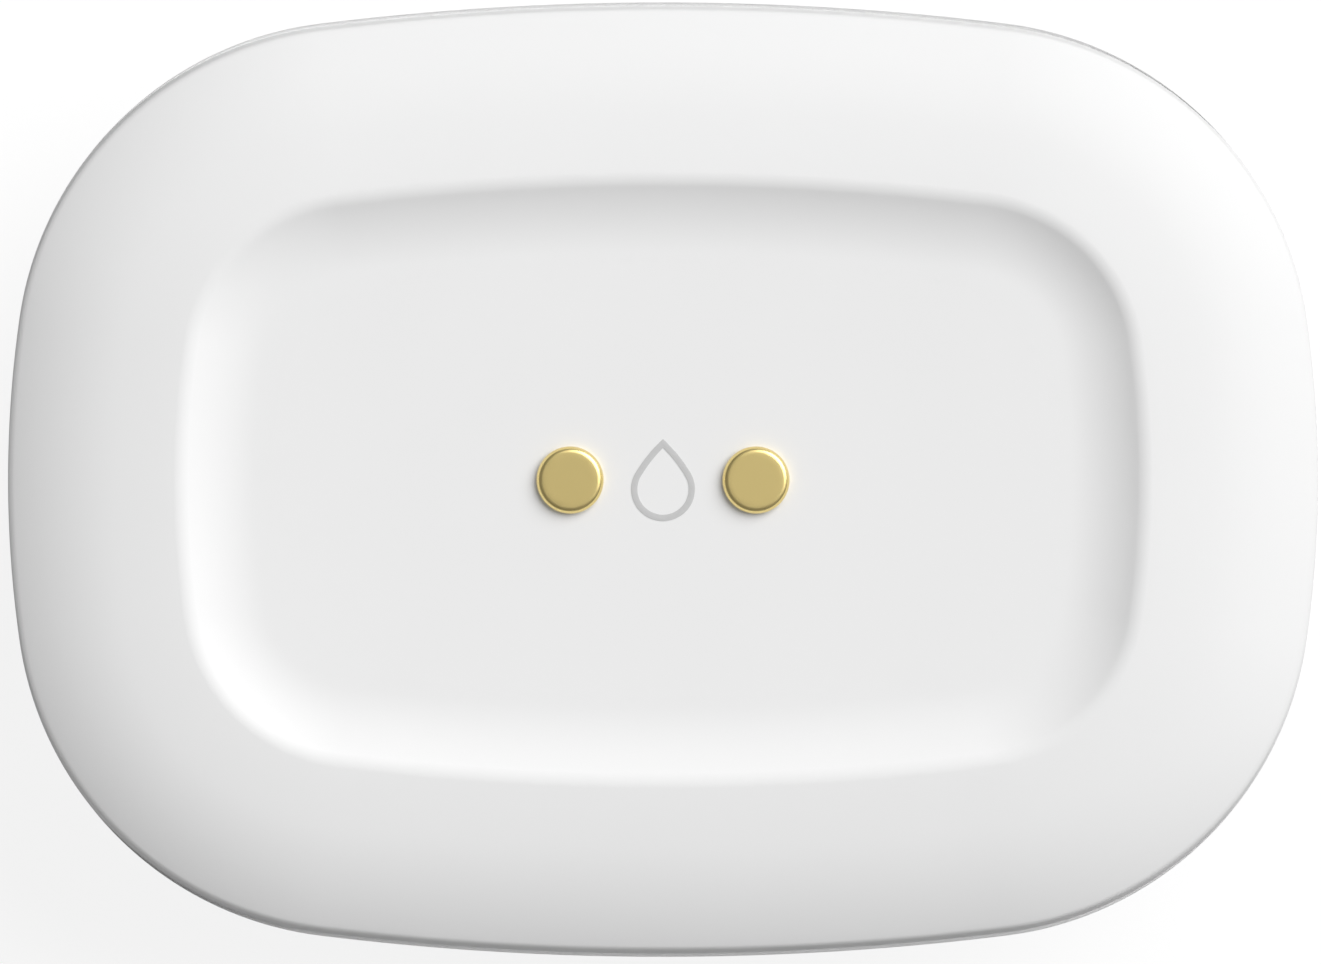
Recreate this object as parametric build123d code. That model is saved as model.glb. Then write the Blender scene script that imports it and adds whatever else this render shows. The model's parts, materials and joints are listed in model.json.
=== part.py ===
from build123d import *
import math
import os

# Water leak sensor: a pebble-shaped case with a dish in its top, two gold-plated probes in the
# dish and two under the case. Millimetres, +Z up, X along the case, +Y towards the drop's tip.
# The origin lies on the surface that the foot pads stand on, under the middle of the case.

# Outline seen from above: eight tangent arcs
length = 55.0
width = 40.1
long_side_radius = 117.0
short_side_radius = 48.0
corner_radius = 14.5

# Shell
wall = 1.2
foot_stand = 0.6
overrun = 0.5

# Top skin, from the dish outwards, as tangent arcs with their slopes in degrees
dish_floor_inset = 10.5
dish_blend_radius = 6.2
rim_roll_radius = 2.1
rim_radius = 41.0
cover_edge_radius = 0.5
cover_band = 0.5
cover_edge_relief = 0.15
dish_slope = 25.0
rim_slope = 4.5
crown_start_slope = 8.0
crown_end_slope = 27.0

# Joint between cover and base
base_step = 0.1
base_lip_round = 0.25
middle_share = 0.5
lip_depth = 2.0
lip_thickness = 1.0
lip_clearance = 0.1
cover_seal_height = 0.8
cover_seal_gap = 0.05
shoulder_reach = 1.15
shoulder_height = 0.8

# Base side and floor
base_lean = 4.0
base_roll_radius = 2.6
core_inset = 6.0

# Battery cell and the space round it
cell_side_room = 4.85
cell_near_reach = 0.4
cell_gap = 0.3
cell_headroom = 0.82
cell_edge_radius = 0.8
sleeve_thickness = 0.1
sleeve_gap = 0.02
sleeve_lap = 0.5
nub_gap = 0.3
nub_height = 1.2
nub_edge_radius = 0.4
washer_margin = 1.2
washer_width = 3.3
washer_thickness = 0.3

# Battery holder
holder_slack = 0.2
holder_wall = 1.2
holder_end_wall = 1.4
holder_inset = 3.2
holder_headroom = 1.2
holder_window_height = 4.0
holder_window_length = 6.0
ear_thickness = 1.2
holder_post_gap = 1.0

# Battery contacts
contact_thickness = 0.3
contact_width = 5.0
contact_arm_height = 1.4
contact_tail = 0.6
contact_gap = 0.05
contact_foot_gap = 0.8
leaf_width = 4.0
leaf_bow = 1.6
leaf_margin = 3.8

# Battery door, door seal and the ledge that they close against
door_end_margin = 2.7
door_far_margin = 1.2
door_near_reach = 6.8
door_corner_radius = 4.0
door_gap = 0.15
bay_clearance = 0.1
ledge_thickness = 1.2
ledge_margin = 1.2
door_seal_width = 0.6
door_seal_height = 0.4
door_seal_gap = 0.1
skirt_thickness = 0.9
skirt_height = 1.5
skirt_gap = 0.12
bead_radius = 0.1
bead_length = 6.0
notch_length = 9.0
notch_depth = 1.4
notch_lap = 0.6
notch_height = 0.7

# Probes, their nuts and their sealing rings
probe_spacing = 7.78
probe_head_radius = 1.41
probe_proud = 0.45
probe_head_round = 0.21
probe_shank_radius = 0.7
probe_shank_chamfer = 0.15
probe_fit = 0.05
probe_tail = 0.25
lower_probe_offset = 10.4
probe_boss_radius = 2.2
probe_nut_height = 0.8
probe_nut_flats = 3.0
probe_nut_fit = 0.03
seal_pocket_radius = 1.25
seal_pocket_depth = 0.6
probe_seal_gap = 0.01

# Circuit board
board_thickness = 0.8
board_drop = 0.687
board_inset = 3.2
board_gap = 0.5
board_hole_gap = 0.1

# Case screws, the posts that they join and the foot pads over them
post_inset = 5.9
post_turn = 25.0
post_radius = 2.6
post_top = 9.0
cover_post_radius = 2.0
post_clearance = 0.3
case_screw_radius = 0.95
case_screw_gap = 0.15
pilot_gap = 0.05
case_screw_head_radius = 1.6
case_screw_head_height = 1.2
case_screw_head_gap = 0.15
case_screw_seat = 2.3
case_screw_bite = 6.0
pilot_run_out = 0.6
drive_radius = 0.7
drive_depth = 0.6
foot_radius = 2.6
foot_recess_gap = 0.1
foot_recess_depth = 0.5
foot_edge_radius = 0.2

# Board screws
board_screw_inset = 5.4
board_screw_room = 4.7
board_boss_radius = 1.8
board_screw_radius = 0.75
board_screw_head_radius = 1.3
board_screw_head_height = 0.9
board_screw_bite = 1.6
board_pilot_depth = 1.9

# Pairing button, its guide and the switch that it presses
button_x = 8.5
button_y = 4.3
button_cap_radius = 1.5
button_cap_height = 0.9
button_cap_gap = 0.15
button_recess = 0.15
button_stem_radius = 1.0
button_stem_gap = 0.12
button_travel = 0.3
button_face_round = 0.2
button_collar_radius = 1.5
button_collar_height = 0.6
button_collar_gap = 0.05
guide_wall = 0.8
guide_height = 6.5
switch_size = 4.2
switch_height = 3.2
switch_cover_thickness = 0.3
plunger_radius = 0.8
plunger_height = 0.9
plunger_gap = 0.1
plunger_stop_gap = 0.2

# Sprung contact pins between the board and the lower probes
pin_barrel_radius = 1.0
pin_plunger_radius = 0.6
pin_plunger_length = 3.4
pin_collar_radius = 1.3
pin_collar_height = 0.8

# Parts on the board: length, width and height of each, in millimetres
radio_size = (8.0, 10.0, 0.8)
shield_size = (6.6, 8.0, 1.6)
shield_wall = 0.25
controller_size = (6.0, 6.0, 0.9)
crystal_size = (3.2, 1.6, 0.8)
thermistor_size = (1.6, 0.8, 0.8)
capacitor_size = (2.0, 1.25, 1.2)
resistor_size = (1.6, 0.8, 0.45)
light_size = (1.6, 0.8, 0.4)
light_lens_size = (1.0, 0.7, 0.2)
antenna_length = 9.0
antenna_drop = 3.4
antenna_strip = 0.9
antenna_thickness = 0.3
chip_edge = 0.2

# Places of the board's parts as shares of half the length and half the width, and the radio's
# as a share of half the width alone
radio_share = 0.36
controller_share = (0.47, 0.6)
crystal_share = (0.26, 0.72)
thermistor_share = (0.66, 0.06)
antenna_share = (-0.38, 0.76)
capacitor_shares = ((0.0, 0.22), (0.13, 0.22), (0.0, 0.36), (0.13, 0.36))
resistor_shares = ((0.52, 0.17), (0.52, 0.27), (0.22, 0.62), (0.0, 0.47), (0.0, 0.54))

# Stiffening ribs under the cover's crown
rib_thickness = 0.8
rib_share = 0.5


def rise(radius, slope):
    """Height that an arc gains while its slope goes from level to the given one."""
    return radius * (1 - math.cos(math.radians(slope)))


def run(radius, slope):
    """Distance that an arc covers while its slope goes from level to the given one."""
    return radius * math.sin(math.radians(slope))


# The cell fills the room between the far side wall and the probes
cell_reach = width / 2 - cell_side_room
cell_radius = (cell_reach + cell_near_reach) / 2
cell_y = cell_near_reach - cell_radius
washer_outer_radius = cell_radius - washer_margin
washer_inner_radius = washer_outer_radius - washer_width
nub_radius = washer_inner_radius - nub_gap

# Levels that follow from the stack of parts
floor_top = foot_stand + wall
cell_z = floor_top + cell_gap + cell_radius
ceiling = cell_z + cell_radius + cell_headroom
dish_z = ceiling + wall
dish_depth = rise(dish_blend_radius + rim_roll_radius, dish_slope)
height = dish_z + dish_depth
board_top = ceiling - board_drop
board_bottom = board_top - board_thickness
ledge_top = floor_top + ledge_thickness
guide_top = floor_top + guide_height
probe_x = probe_spacing / 2

# The crown outside the flatter rim fills what the other arcs of the top skin leave of the run
rim_start_inset = (
    dish_floor_inset
    - run(dish_blend_radius + rim_roll_radius, dish_slope)
    - run(rim_roll_radius, rim_slope)
)
rim_centre_inset = rim_start_inset + run(rim_radius, rim_slope)
rim_centre_z = height - rise(rim_roll_radius, rim_slope) - (
    rim_radius * math.cos(math.radians(rim_slope))
)
crown_start_inset = rim_centre_inset - run(rim_radius, crown_start_slope)
crown_run = crown_start_inset - cover_edge_radius + run(cover_edge_radius, crown_end_slope)
crown_radius = crown_run / (
    math.sin(math.radians(crown_end_slope)) - math.sin(math.radians(crown_start_slope))
)
crown_centre_inset = crown_start_inset + run(crown_radius, crown_start_slope)
crown_centre_z = rim_centre_z + (rim_radius - crown_radius) * math.cos(
    math.radians(crown_start_slope)
)
edge_z = crown_centre_z + (crown_radius - cover_edge_radius) * math.cos(
    math.radians(crown_end_slope)
)
parting_z = edge_z - cover_band

# The base's side leans inwards in a straight line between two rounds
lean_sine = math.sin(math.radians(base_lean))
lean_cosine = math.cos(math.radians(base_lean))
side_top_z = parting_z - base_lip_round * (1 + lean_sine)
side_bottom_z = foot_stand + base_roll_radius * (1 - lean_sine)


def side_inset(level, inward):
    """How far inside the outline the base's side lies at a level, outside or behind a wall."""
    leaned = (side_top_z - level) * lean_sine / lean_cosine
    return base_step + base_lip_round * (1 - lean_cosine) + leaned + inward / lean_cosine


def crown_level(inset):
    """Height of the top skin over the rim or the crown outside it."""
    if inset > crown_start_inset:
        return rim_centre_z + math.sqrt(rim_radius**2 - (rim_centre_inset - inset) ** 2)
    return crown_centre_z + math.sqrt(crown_radius**2 - (crown_centre_inset - inset) ** 2)


lip_outer_inset = side_inset(parting_z - lip_depth, wall) + lip_clearance
lip_inner_inset = lip_outer_inset + lip_thickness
shoulder_z = parting_z - lip_depth - cover_seal_height
door_far_reach = cell_reach + bay_clearance + door_far_margin
door_y = (door_near_reach - door_far_reach) / 2
door_width = door_near_reach + door_far_reach


def outline_centre():
    """Centre of the corner arc, which touches a long-side arc and a short-side arc."""
    long_y = width / 2 - long_side_radius
    short_x = length / 2 - short_side_radius
    long_reach = long_side_radius - corner_radius
    short_reach = short_side_radius - corner_radius
    apart = math.hypot(short_x, long_y)
    along = (apart**2 + long_reach**2 - short_reach**2) / (2 * apart)
    off = math.sqrt(long_reach**2 - along**2)
    return (
        (along * short_x - off * long_y) / apart,
        long_y - (off * short_x + along * long_y) / apart,
    )


corner_x, corner_y = outline_centre()
short_turn = math.degrees(math.atan2(corner_y, corner_x - length / 2 + short_side_radius))
long_turn = math.degrees(math.atan2(corner_y - width / 2 + long_side_radius, corner_x))


def outline_arcs():
    """The eight arcs, each as its centre, its radius, its start angle and its turn."""
    short_x = length / 2 - short_side_radius
    long_y = width / 2 - long_side_radius
    corner_sweep = long_turn - short_turn
    return (
        (short_x, 0, short_side_radius, -short_turn, 2 * short_turn),
        (corner_x, corner_y, corner_radius, short_turn, corner_sweep),
        (0, long_y, long_side_radius, long_turn, 180 - 2 * long_turn),
        (-corner_x, corner_y, corner_radius, 180 - long_turn, corner_sweep),
        (-short_x, 0, short_side_radius, 180 - short_turn, 2 * short_turn),
        (-corner_x, -corner_y, corner_radius, 180 + short_turn, corner_sweep),
        (0, -long_y, long_side_radius, 180 + long_turn, 180 - 2 * long_turn),
        (corner_x, -corner_y, corner_radius, 360 - long_turn, corner_sweep),
    )


def outline_face(inset):
    """The outline, moved inwards by an inset, as a flat face at height zero."""
    edges = [
        CenterArc((x, y), radius - inset, start, turn).edge()
        for x, y, radius, start, turn in outline_arcs()
    ]
    return Face(Wire(edges))


def slab(inset, bottom, top):
    """A plate with the outline's form between two levels."""
    return Pos(0, 0, bottom) * extrude(outline_face(inset), top - bottom)


def ring(section):
    """Carries a section, drawn with x from the outline outwards and y up, round the outline."""
    pieces = []
    for x, y, radius, start, turn in outline_arcs():
        away = (math.cos(math.radians(start)), math.sin(math.radians(start)), 0)
        plane = Plane(origin=(x, y, 0), x_dir=away, z_dir=(away[1], -away[0], 0))
        face = plane * (Pos(radius, 0) * section)
        pieces.append(revolve(face, Axis((x, y, 0), (0, 0, 1)), turn))
    return Part() + pieces


def trace(start, heading, moves):
    """Edges that run on from a start point as tangent arcs, each a radius and a turn."""
    edges = []
    for radius, turn in moves:
        arc = JernArc(start, heading, radius, turn)
        edges.append(arc.edge())
        start = arc @ 1
        heading = arc % 1
    return edges


def cylinder(radius, bottom, top, x=0, y=0):
    """An upright cylinder between two levels."""
    return Pos(x, y, (bottom + top) / 2) * Cylinder(radius, top - bottom)


def block(size_x, size_y, bottom, top, x=0, y=0):
    """An upright block between two levels."""
    return Pos(x, y, (bottom + top) / 2) * Box(size_x, size_y, top - bottom)


def rounded(size_x, size_y, radius, bottom, top, x=0, y=0):
    """An upright block with rounded corners between two levels."""
    return Pos(x, y, bottom) * extrude(RectangleRounded(size_x, size_y, radius), top - bottom)


def at_share(share):
    """Place on the board for a share of half the length and half the width."""
    return share[0] * length / 2, share[1] * width / 2


def post_places():
    """The four case screws' places, on the corner arcs moved inwards."""
    reach = corner_radius - post_inset
    x = corner_x + reach * math.cos(math.radians(post_turn))
    y = corner_y + reach * math.sin(math.radians(post_turn))
    return [(x, y), (-x, y), (-x, -y), (x, -y)]


# The cell, its two contacts and the holder fill the room between the case screws' posts
cell_length = 2 * (
    post_places()[0][0]
    - post_radius
    - holder_post_gap
    - holder_end_wall
    - contact_thickness
    - leaf_bow
    - contact_gap
)
door_length = cell_length + 2 * door_end_margin


def board_screw_places():
    """The three board screws' places, one by a long side and one by each short side."""
    reach = short_side_radius - board_screw_inset
    y = post_places()[0][1] - board_screw_room
    x = length / 2 - short_side_radius + math.sqrt(reach**2 - y**2)
    return [(x, y), (-x, y), (0, width / 2 - board_screw_inset)]


def skin_arcs(inward):
    """Arcs of the top skin from the dish outwards, moved inwards by a wall or not at all."""
    arcs = [
        (dish_blend_radius + inward, dish_slope),
        (rim_roll_radius - inward, -dish_slope - rim_slope),
        (rim_radius - inward, rim_slope - crown_start_slope),
    ]
    if not inward:
        return [
            *arcs,
            (crown_radius, crown_start_slope - crown_end_slope),
            (cover_edge_radius, crown_end_slope - 90),
        ]
    lip_slope = math.degrees(
        math.asin((crown_centre_inset - lip_inner_inset) / (crown_radius - inward))
    )
    return [*arcs, (crown_radius - inward, crown_start_slope - lip_slope)]


def cover_shell():
    """The cover's wall: dish, rolled rim, crown, edge band and the lip inside the base."""
    outer = trace((-dish_floor_inset, dish_z), (1, 0), skin_arcs(0))
    outer += trace((0, parting_z + cover_edge_relief), (0, -1), [(cover_edge_relief, -90)])
    outer.insert(-1, Line(outer[-2] @ 1, outer[-1] @ 0).edge())
    inner = trace((-dish_floor_inset, ceiling), (1, 0), skin_arcs(wall))
    lip_end = parting_z - lip_depth
    edges = outer + [
        Line(outer[-1] @ 1, (-lip_outer_inset, parting_z)).edge(),
        Line((-lip_outer_inset, parting_z), (-lip_outer_inset, lip_end)).edge(),
        Line((-lip_outer_inset, lip_end), (-lip_inner_inset, lip_end)).edge(),
        Line((-lip_inner_inset, lip_end), inner[-1] @ 1).edge(),
        *inner,
        Line((-dish_floor_inset, ceiling), (-dish_floor_inset, dish_z)).edge(),
    ]
    return ring(Face(Wire(edges))) + slab(dish_floor_inset - overrun, ceiling, dish_z)


def cover_bosses():
    """Screw posts, board bosses, probe bosses and ribs, which end in the middle of the wall."""
    lost = wall * middle_share
    post_end = crown_level(post_inset) - lost
    boss_end = crown_level(board_screw_inset) - lost
    shapes = [
        cylinder(cover_post_radius, post_top + (ear_thickness if y < 0 else 0), post_end, x, y)
        for x, y in post_places()
    ]
    for x, y in board_screw_places():
        shapes.append(cylinder(board_boss_radius, board_top, boss_end, x, y))
    for x in (-probe_x, probe_x):
        shapes.append(cylinder(probe_boss_radius, board_top, ceiling + lost, x, 0))
    rib_end = (crown_level(lip_inner_inset) + crown_level(rim_start_inset) - wall) / 2
    rib_outer = width / 2 - lip_inner_inset + lip_thickness * middle_share
    rib_inner = width / 2 - rim_start_inset
    rib_low = board_top + post_clearance
    for side_x in (-1, 1):
        for side_y in (-1, 1):
            x = side_x * rib_share * corner_x
            y = side_y * (rib_outer + rib_inner) / 2
            shapes.append(block(rib_thickness, rib_outer - rib_inner, rib_low, rib_end, x, y))
    return shapes


def top_cover():
    """The white cover with its dish, probe holes, pilot holes and seal pockets."""
    cover = cover_shell() + cover_bosses()
    for x in (-probe_x, probe_x):
        cover -= cylinder(probe_shank_radius + probe_fit, 0, height, x, 0)
        cover -= cylinder(seal_pocket_radius, 0, board_top + seal_pocket_depth, x, 0)
    for x, y in post_places():
        pilot_end = post_top + case_screw_bite + pilot_run_out
        cover -= cylinder(case_screw_radius + pilot_gap, 0, pilot_end, x, y)
    for x, y in board_screw_places():
        cover -= cylinder(board_screw_radius + pilot_gap, 0, board_top + board_pilot_depth, x, y)
    return cover


def base_section():
    """Section of the base's wall: rounded top edge, leaning side and rolled foot."""
    roll_turn = base_lean - 90
    start = (-base_step - base_lip_round, parting_z)
    lip = trace(start, (1, 0), [(base_lip_round, -90 - base_lean)])
    down = (-lean_sine, -lean_cosine)
    roll_start = (-side_inset(side_bottom_z, 0), side_bottom_z)
    roll = trace(roll_start, down, [(base_roll_radius, roll_turn)])
    inner_z = side_bottom_z + wall * lean_sine
    inner_start = (-side_inset(inner_z, wall), inner_z)
    inner_roll = trace(inner_start, down, [(base_roll_radius - wall, roll_turn)])
    corners = [
        (-core_inset, foot_stand),
        (-core_inset, floor_top),
    ]
    inner_top = (-side_inset(parting_z, wall), parting_z)
    edges = [
        *lip,
        Line(lip[-1] @ 1, roll_start).edge(),
        *roll,
        Line(roll[-1] @ 1, corners[0]).edge(),
        Line(*corners).edge(),
        Line(corners[1], inner_roll[-1] @ 1).edge(),
        *inner_roll,
        Line(inner_start, inner_top).edge(),
        Line(inner_top, start).edge(),
    ]
    return Face(Wire(edges))


def base_shell():
    """The tub without its openings, posts and shoulder."""
    return ring(base_section()) + slab(core_inset - overrun, foot_stand, floor_top)


def shoulder():
    """The ring inside the tub that carries the cover seal, with a sloping underside."""
    root = side_inset(shoulder_z, wall * middle_share)
    reach = side_inset(shoulder_z, wall) + shoulder_reach
    low = shoulder_z - shoulder_height
    corners = [(-root, shoulder_z), (-reach, shoulder_z), (-reach, low), (-root, low + root - reach)]
    return ring(Face(Wire.make_polygon(corners, close=True)))


def door_prism(grow, bottom, top):
    """The door's outline, grown by a gap or shrunk, between two levels."""
    return rounded(
        door_length + 2 * grow,
        door_width + 2 * grow,
        door_corner_radius + grow,
        bottom,
        top,
        0,
        door_y,
    )


def bay(grow, bottom, top):
    """The opening that the cell passes, grown by a gap or shrunk, between two levels."""
    reach = bay_clearance + grow
    return block(
        cell_length + 2 * (reach + contact_gap),
        2 * (cell_radius + reach),
        bottom,
        top,
        0,
        cell_y,
    )


def base_case():
    """The tub with the door's recess and ledge, the screw posts, the guide and the probe seats."""
    base = base_shell() + shoulder()
    base -= door_prism(door_gap, 0, floor_top)
    base += door_prism(ledge_margin, floor_top, ledge_top)
    base -= bay(0, 0, ledge_top + overrun)
    base -= finger_notch()
    guide_radius = button_stem_radius + button_stem_gap + guide_wall
    base += cylinder(guide_radius, floor_top + ledge_thickness / 2, guide_top, button_x, button_y)
    base -= cylinder(button_stem_radius + button_stem_gap, 0, guide_top + overrun, button_x, button_y)
    cap_room = button_recess + button_cap_height + button_travel + button_cap_gap
    base -= cylinder(
        button_cap_radius + button_cap_gap, 0, floor_top + cap_room, button_x, button_y
    )
    for x, y in post_places():
        base += cylinder(post_radius, floor_top, post_top, x, y)
        base -= cylinder(foot_radius + foot_recess_gap, 0, foot_stand + foot_recess_depth, x, y)
        base -= cylinder(case_screw_head_radius + case_screw_head_gap, 0, case_screw_seat, x, y)
        base -= cylinder(case_screw_radius + case_screw_gap, 0, post_top + overrun, x, y)
    for x in (-probe_x, probe_x):
        boss_top = floor_top + board_drop
        base += cylinder(probe_boss_radius, floor_top, boss_top, x, lower_probe_offset)
        base -= cylinder(probe_shank_radius + probe_fit, 0, boss_top + overrun, x, lower_probe_offset)
        base -= cylinder(
            seal_pocket_radius, boss_top - seal_pocket_depth, boss_top + overrun, x, lower_probe_offset
        )
    return base


def finger_notch():
    """The room for a finger nail, across the door's edge and the base beside it."""
    middle = door_near_reach - notch_lap + notch_depth / 2
    return rounded(
        notch_length, notch_depth, notch_lap, 0, foot_stand + notch_height, 0, middle
    )


def battery_door():
    """The door, flush with the underside, with its seal step, skirt, beads and finger notch."""
    door = base_shell() & door_prism(0, 0, floor_top)
    seal_reach = door_seal_gap + door_seal_width
    step = door_prism(overrun, floor_top - door_seal_height, floor_top + overrun)
    step -= door_prism(-seal_reach, 0, height)
    door -= step
    skirt = bay(-skirt_gap, floor_top, floor_top + skirt_height)
    skirt -= bay(-skirt_gap - skirt_thickness, 0, height)
    skirt -= cylinder_along_x(cell_radius + cell_gap, 0)
    door += skirt
    reach_y = cell_radius + bay_clearance - skirt_gap
    for side in (-1, 1):
        bead = Rot(0, 90, 0) * Cylinder(bead_radius, bead_length)
        door += Pos(0, cell_y + side * reach_y, floor_top + ledge_thickness / 2) * bead
    return door - finger_notch()


def door_seal():
    """The silicone ring in the door's step."""
    low = floor_top - door_seal_height
    seal = door_prism(-door_seal_gap, low, floor_top)
    return seal - door_prism(-door_seal_gap - door_seal_width, 0, height)


def cover_seal():
    """The silicone ring between the cover's lip and the base's shoulder."""
    outer = lip_outer_inset + cover_seal_gap
    seal = slab(outer, shoulder_z, shoulder_z + cover_seal_height)
    return seal - slab(lip_inner_inset, shoulder_z - overrun, height)


def cylinder_along_x(radius, shift, span=length):
    """A level cylinder on the cell's axis, centred on a shift along X."""
    return Pos(shift, cell_y, cell_z) * (Rot(0, 90, 0) * Cylinder(radius, span))


def cell_can():
    """The cell's steel can with its positive nub at +X."""
    half = cell_length / 2
    radius = cell_radius - sleeve_thickness - sleeve_gap
    profile = Face(
        Wire.make_polygon(
            [
                (0, -half),
                (radius, -half),
                (radius, half - nub_height),
                (nub_radius, half - nub_height),
                (nub_radius, half),
                (0, half),
            ],
            close=True,
        )
    )
    can = revolve(Plane.XZ * profile, Axis.Z, 360)
    rims = [e for e in can.edges().filter_by(GeomType.CIRCLE) if e.radius > nub_radius + overrun]
    can = fillet(rims, cell_edge_radius)
    tip = [e for e in can.edges().filter_by(GeomType.CIRCLE) if abs(e.center().Z - half) < overrun]
    can = fillet([e for e in tip if abs(e.radius - nub_radius) < sleeve_gap], nub_edge_radius)
    return Pos(0, cell_y, cell_z) * (Rot(0, 90, 0) * can)


def cell_sleeve():
    """The plain sleeve round the can."""
    start = cell_edge_radius + sleeve_lap
    span = cell_length - nub_height - 2 * start
    shift = -nub_height / 2
    tube = cylinder_along_x(cell_radius, shift, span)
    return tube - cylinder_along_x(cell_radius - sleeve_thickness, shift, span + overrun)


def cell_washer():
    """The insulating washer round the positive nub."""
    face = cell_length / 2 - nub_height
    shift = face + washer_thickness / 2
    disc = cylinder_along_x(washer_outer_radius, shift, washer_thickness)
    return disc - cylinder_along_x(washer_inner_radius, shift, washer_thickness + overrun)


positive_face = cell_length / 2 + contact_gap
negative_face = cell_length / 2 + contact_gap + leaf_bow
holder_top = board_bottom - holder_headroom


def battery_holder():
    """The cradle round the cell, with end walls for the contacts and ears under two posts."""
    right = positive_face + contact_thickness + holder_end_wall
    left = negative_face + contact_thickness + holder_end_wall
    reach = cell_radius + holder_slack + holder_wall
    holder = block(right + left, 2 * reach, ledge_top, holder_top, (right - left) / 2, cell_y)
    holder &= slab(holder_inset, 0, height)
    ears = Part()
    for x, y in post_places()[2:]:
        side = math.copysign(1, x)
        inner = side * (left if x < 0 else right)
        top = post_top + ear_thickness
        arm = block(
            abs(x - inner) + overrun, 2 * post_radius, post_top, top, (x + inner) / 2, y
        )
        ears += arm + cylinder(post_radius, post_top, top, x, y)
    holder += ears & slab(holder_inset, 0, height)
    cavity_right = positive_face + contact_thickness
    cavity_left = negative_face + contact_thickness
    span = cavity_right + cavity_left
    middle = (cavity_right - cavity_left) / 2
    holder -= cylinder_along_x(cell_radius + holder_slack, middle, span)
    holder -= block(span, 2 * (cell_radius + holder_slack), 0, cell_z, middle, cell_y)
    window_z = cell_z - holder_window_height / 2
    for side in (-1, 1):
        x = side * (holder_window_length / 2 + holder_end_wall + holder_wall)
        holder -= block(
            holder_window_length, length, window_z, window_z + holder_window_height, x, cell_y
        )
    holder -= block(
        length, contact_width + 2 * contact_gap, cell_z + cell_radius / 2, height, 0, cell_y
    )
    for x in (
        positive_face + contact_thickness / 2,
        -negative_face - contact_thickness / 2,
    ):
        holder -= block(
            contact_thickness + 2 * contact_gap,
            cell_radius + 2 * holder_wall,
            holder_top - contact_arm_height - 2 * contact_gap,
            height,
            x,
            cell_y + cell_radius / 2 + holder_wall,
        )
    for x, y in post_places()[2:]:
        holder -= cylinder(case_screw_radius + case_screw_gap, 0, height, x, y)
    return holder


def contact_sheet(x, side):
    """An upright contact with an arm to the board and a solder tail through it."""
    low = ledge_top + contact_foot_gap
    arm_top = holder_top - contact_gap
    arm_low = arm_top - contact_arm_height
    near = -cell_y + board_edge_y + board_gap + contact_arm_height
    half = contact_width / 2
    tail = board_top + contact_tail - contact_gap
    points = [
        (-half, low),
        (half, low),
        (half, arm_low),
        (near, arm_low),
        (near, tail),
        (near - contact_arm_height, tail),
        (near - contact_arm_height, arm_top),
        (-half, arm_top),
    ]
    face = Plane.YZ * Face(Wire.make_polygon([(y + cell_y, z) for y, z in points], close=True))
    sheet = extrude(face, side * contact_thickness)
    return Pos(x, 0, 0) * sheet


def chord_edge(level):
    """How far the cell reaches towards +Y at a level."""
    return cell_y + math.sqrt(cell_radius**2 - (level - cell_z) ** 2)


board_edge_y = chord_edge(board_bottom) + board_gap


def positive_contact():
    """The flat contact at the cell's positive end."""
    return contact_sheet(positive_face, 1)


def negative_contact():
    """The contact at the cell's negative end, with a bowed leaf that presses on the can."""
    sheet = contact_sheet(-negative_face, -1)
    half = cell_radius - leaf_margin
    radius = (half**2 + leaf_bow**2) / (2 * leaf_bow)
    sweep = math.degrees(math.asin(half / radius))
    outer = CenterArc((leaf_bow - radius, 0), radius, -sweep, 2 * sweep).edge()
    inner_turn = math.degrees(
        math.acos((radius - leaf_bow) / (radius - contact_thickness))
    )
    inner = CenterArc(
        (leaf_bow - radius, 0), radius - contact_thickness, inner_turn, -2 * inner_turn
    ).edge()
    face = Face(
        Wire([outer, Line(outer @ 1, inner @ 0).edge(), inner, Line(inner @ 1, outer @ 0).edge()])
    )
    leaf = extrude(Plane.XZ * face, leaf_width / 2, both=True)
    return sheet + Pos(-negative_face, cell_y, cell_z) * leaf


def circuit_board():
    """The board over the roomy half of the case, with its holes and notches."""
    far = width / 2
    board = slab(board_inset, board_bottom, board_top)
    board &= block(length, far - board_edge_y, 0, height, 0, (far + board_edge_y) / 2)
    notch = cover_post_radius + post_clearance
    for x, y in post_places()[:2]:
        board -= cylinder(notch, 0, height, x, y)
        side = math.copysign(far, x)
        board -= block(far, 2 * notch, 0, height, x + side / 2, y)
    for x, y in board_screw_places():
        board -= cylinder(board_screw_radius + board_hole_gap, 0, height, x, y)
    for x in (-probe_x, probe_x):
        board -= cylinder(probe_shank_radius + board_hole_gap, 0, height, x, 0)
    slot_x = (positive_face + contact_thickness / 2, -negative_face - contact_thickness / 2)
    slot_y = board_edge_y + board_gap + contact_arm_height / 2
    for x in slot_x:
        board -= block(
            contact_thickness + 2 * board_hole_gap,
            contact_arm_height + 2 * board_hole_gap,
            0,
            height,
            x,
            slot_y,
        )
    return board


def probe(shank):
    """A stud with a flat, rounded head that stands on height zero and a shank below it."""
    head = cylinder(probe_head_radius, 0, probe_proud)
    head = fillet(head.edges().group_by(Axis.Z)[-1], probe_head_round)
    body = cylinder(probe_shank_radius, -shank, 0)
    body = chamfer(body.edges().group_by(Axis.Z)[0], probe_shank_chamfer)
    return head + body


def upper_probe(x):
    """A probe in the dish, through the cover and the board."""
    shank = dish_z - board_bottom + probe_nut_height + probe_tail
    return Pos(x, 0, dish_z) * probe(shank)


lower_nut_z = floor_top + board_drop
lower_shank_end = lower_nut_z + probe_nut_height + probe_tail


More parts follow.
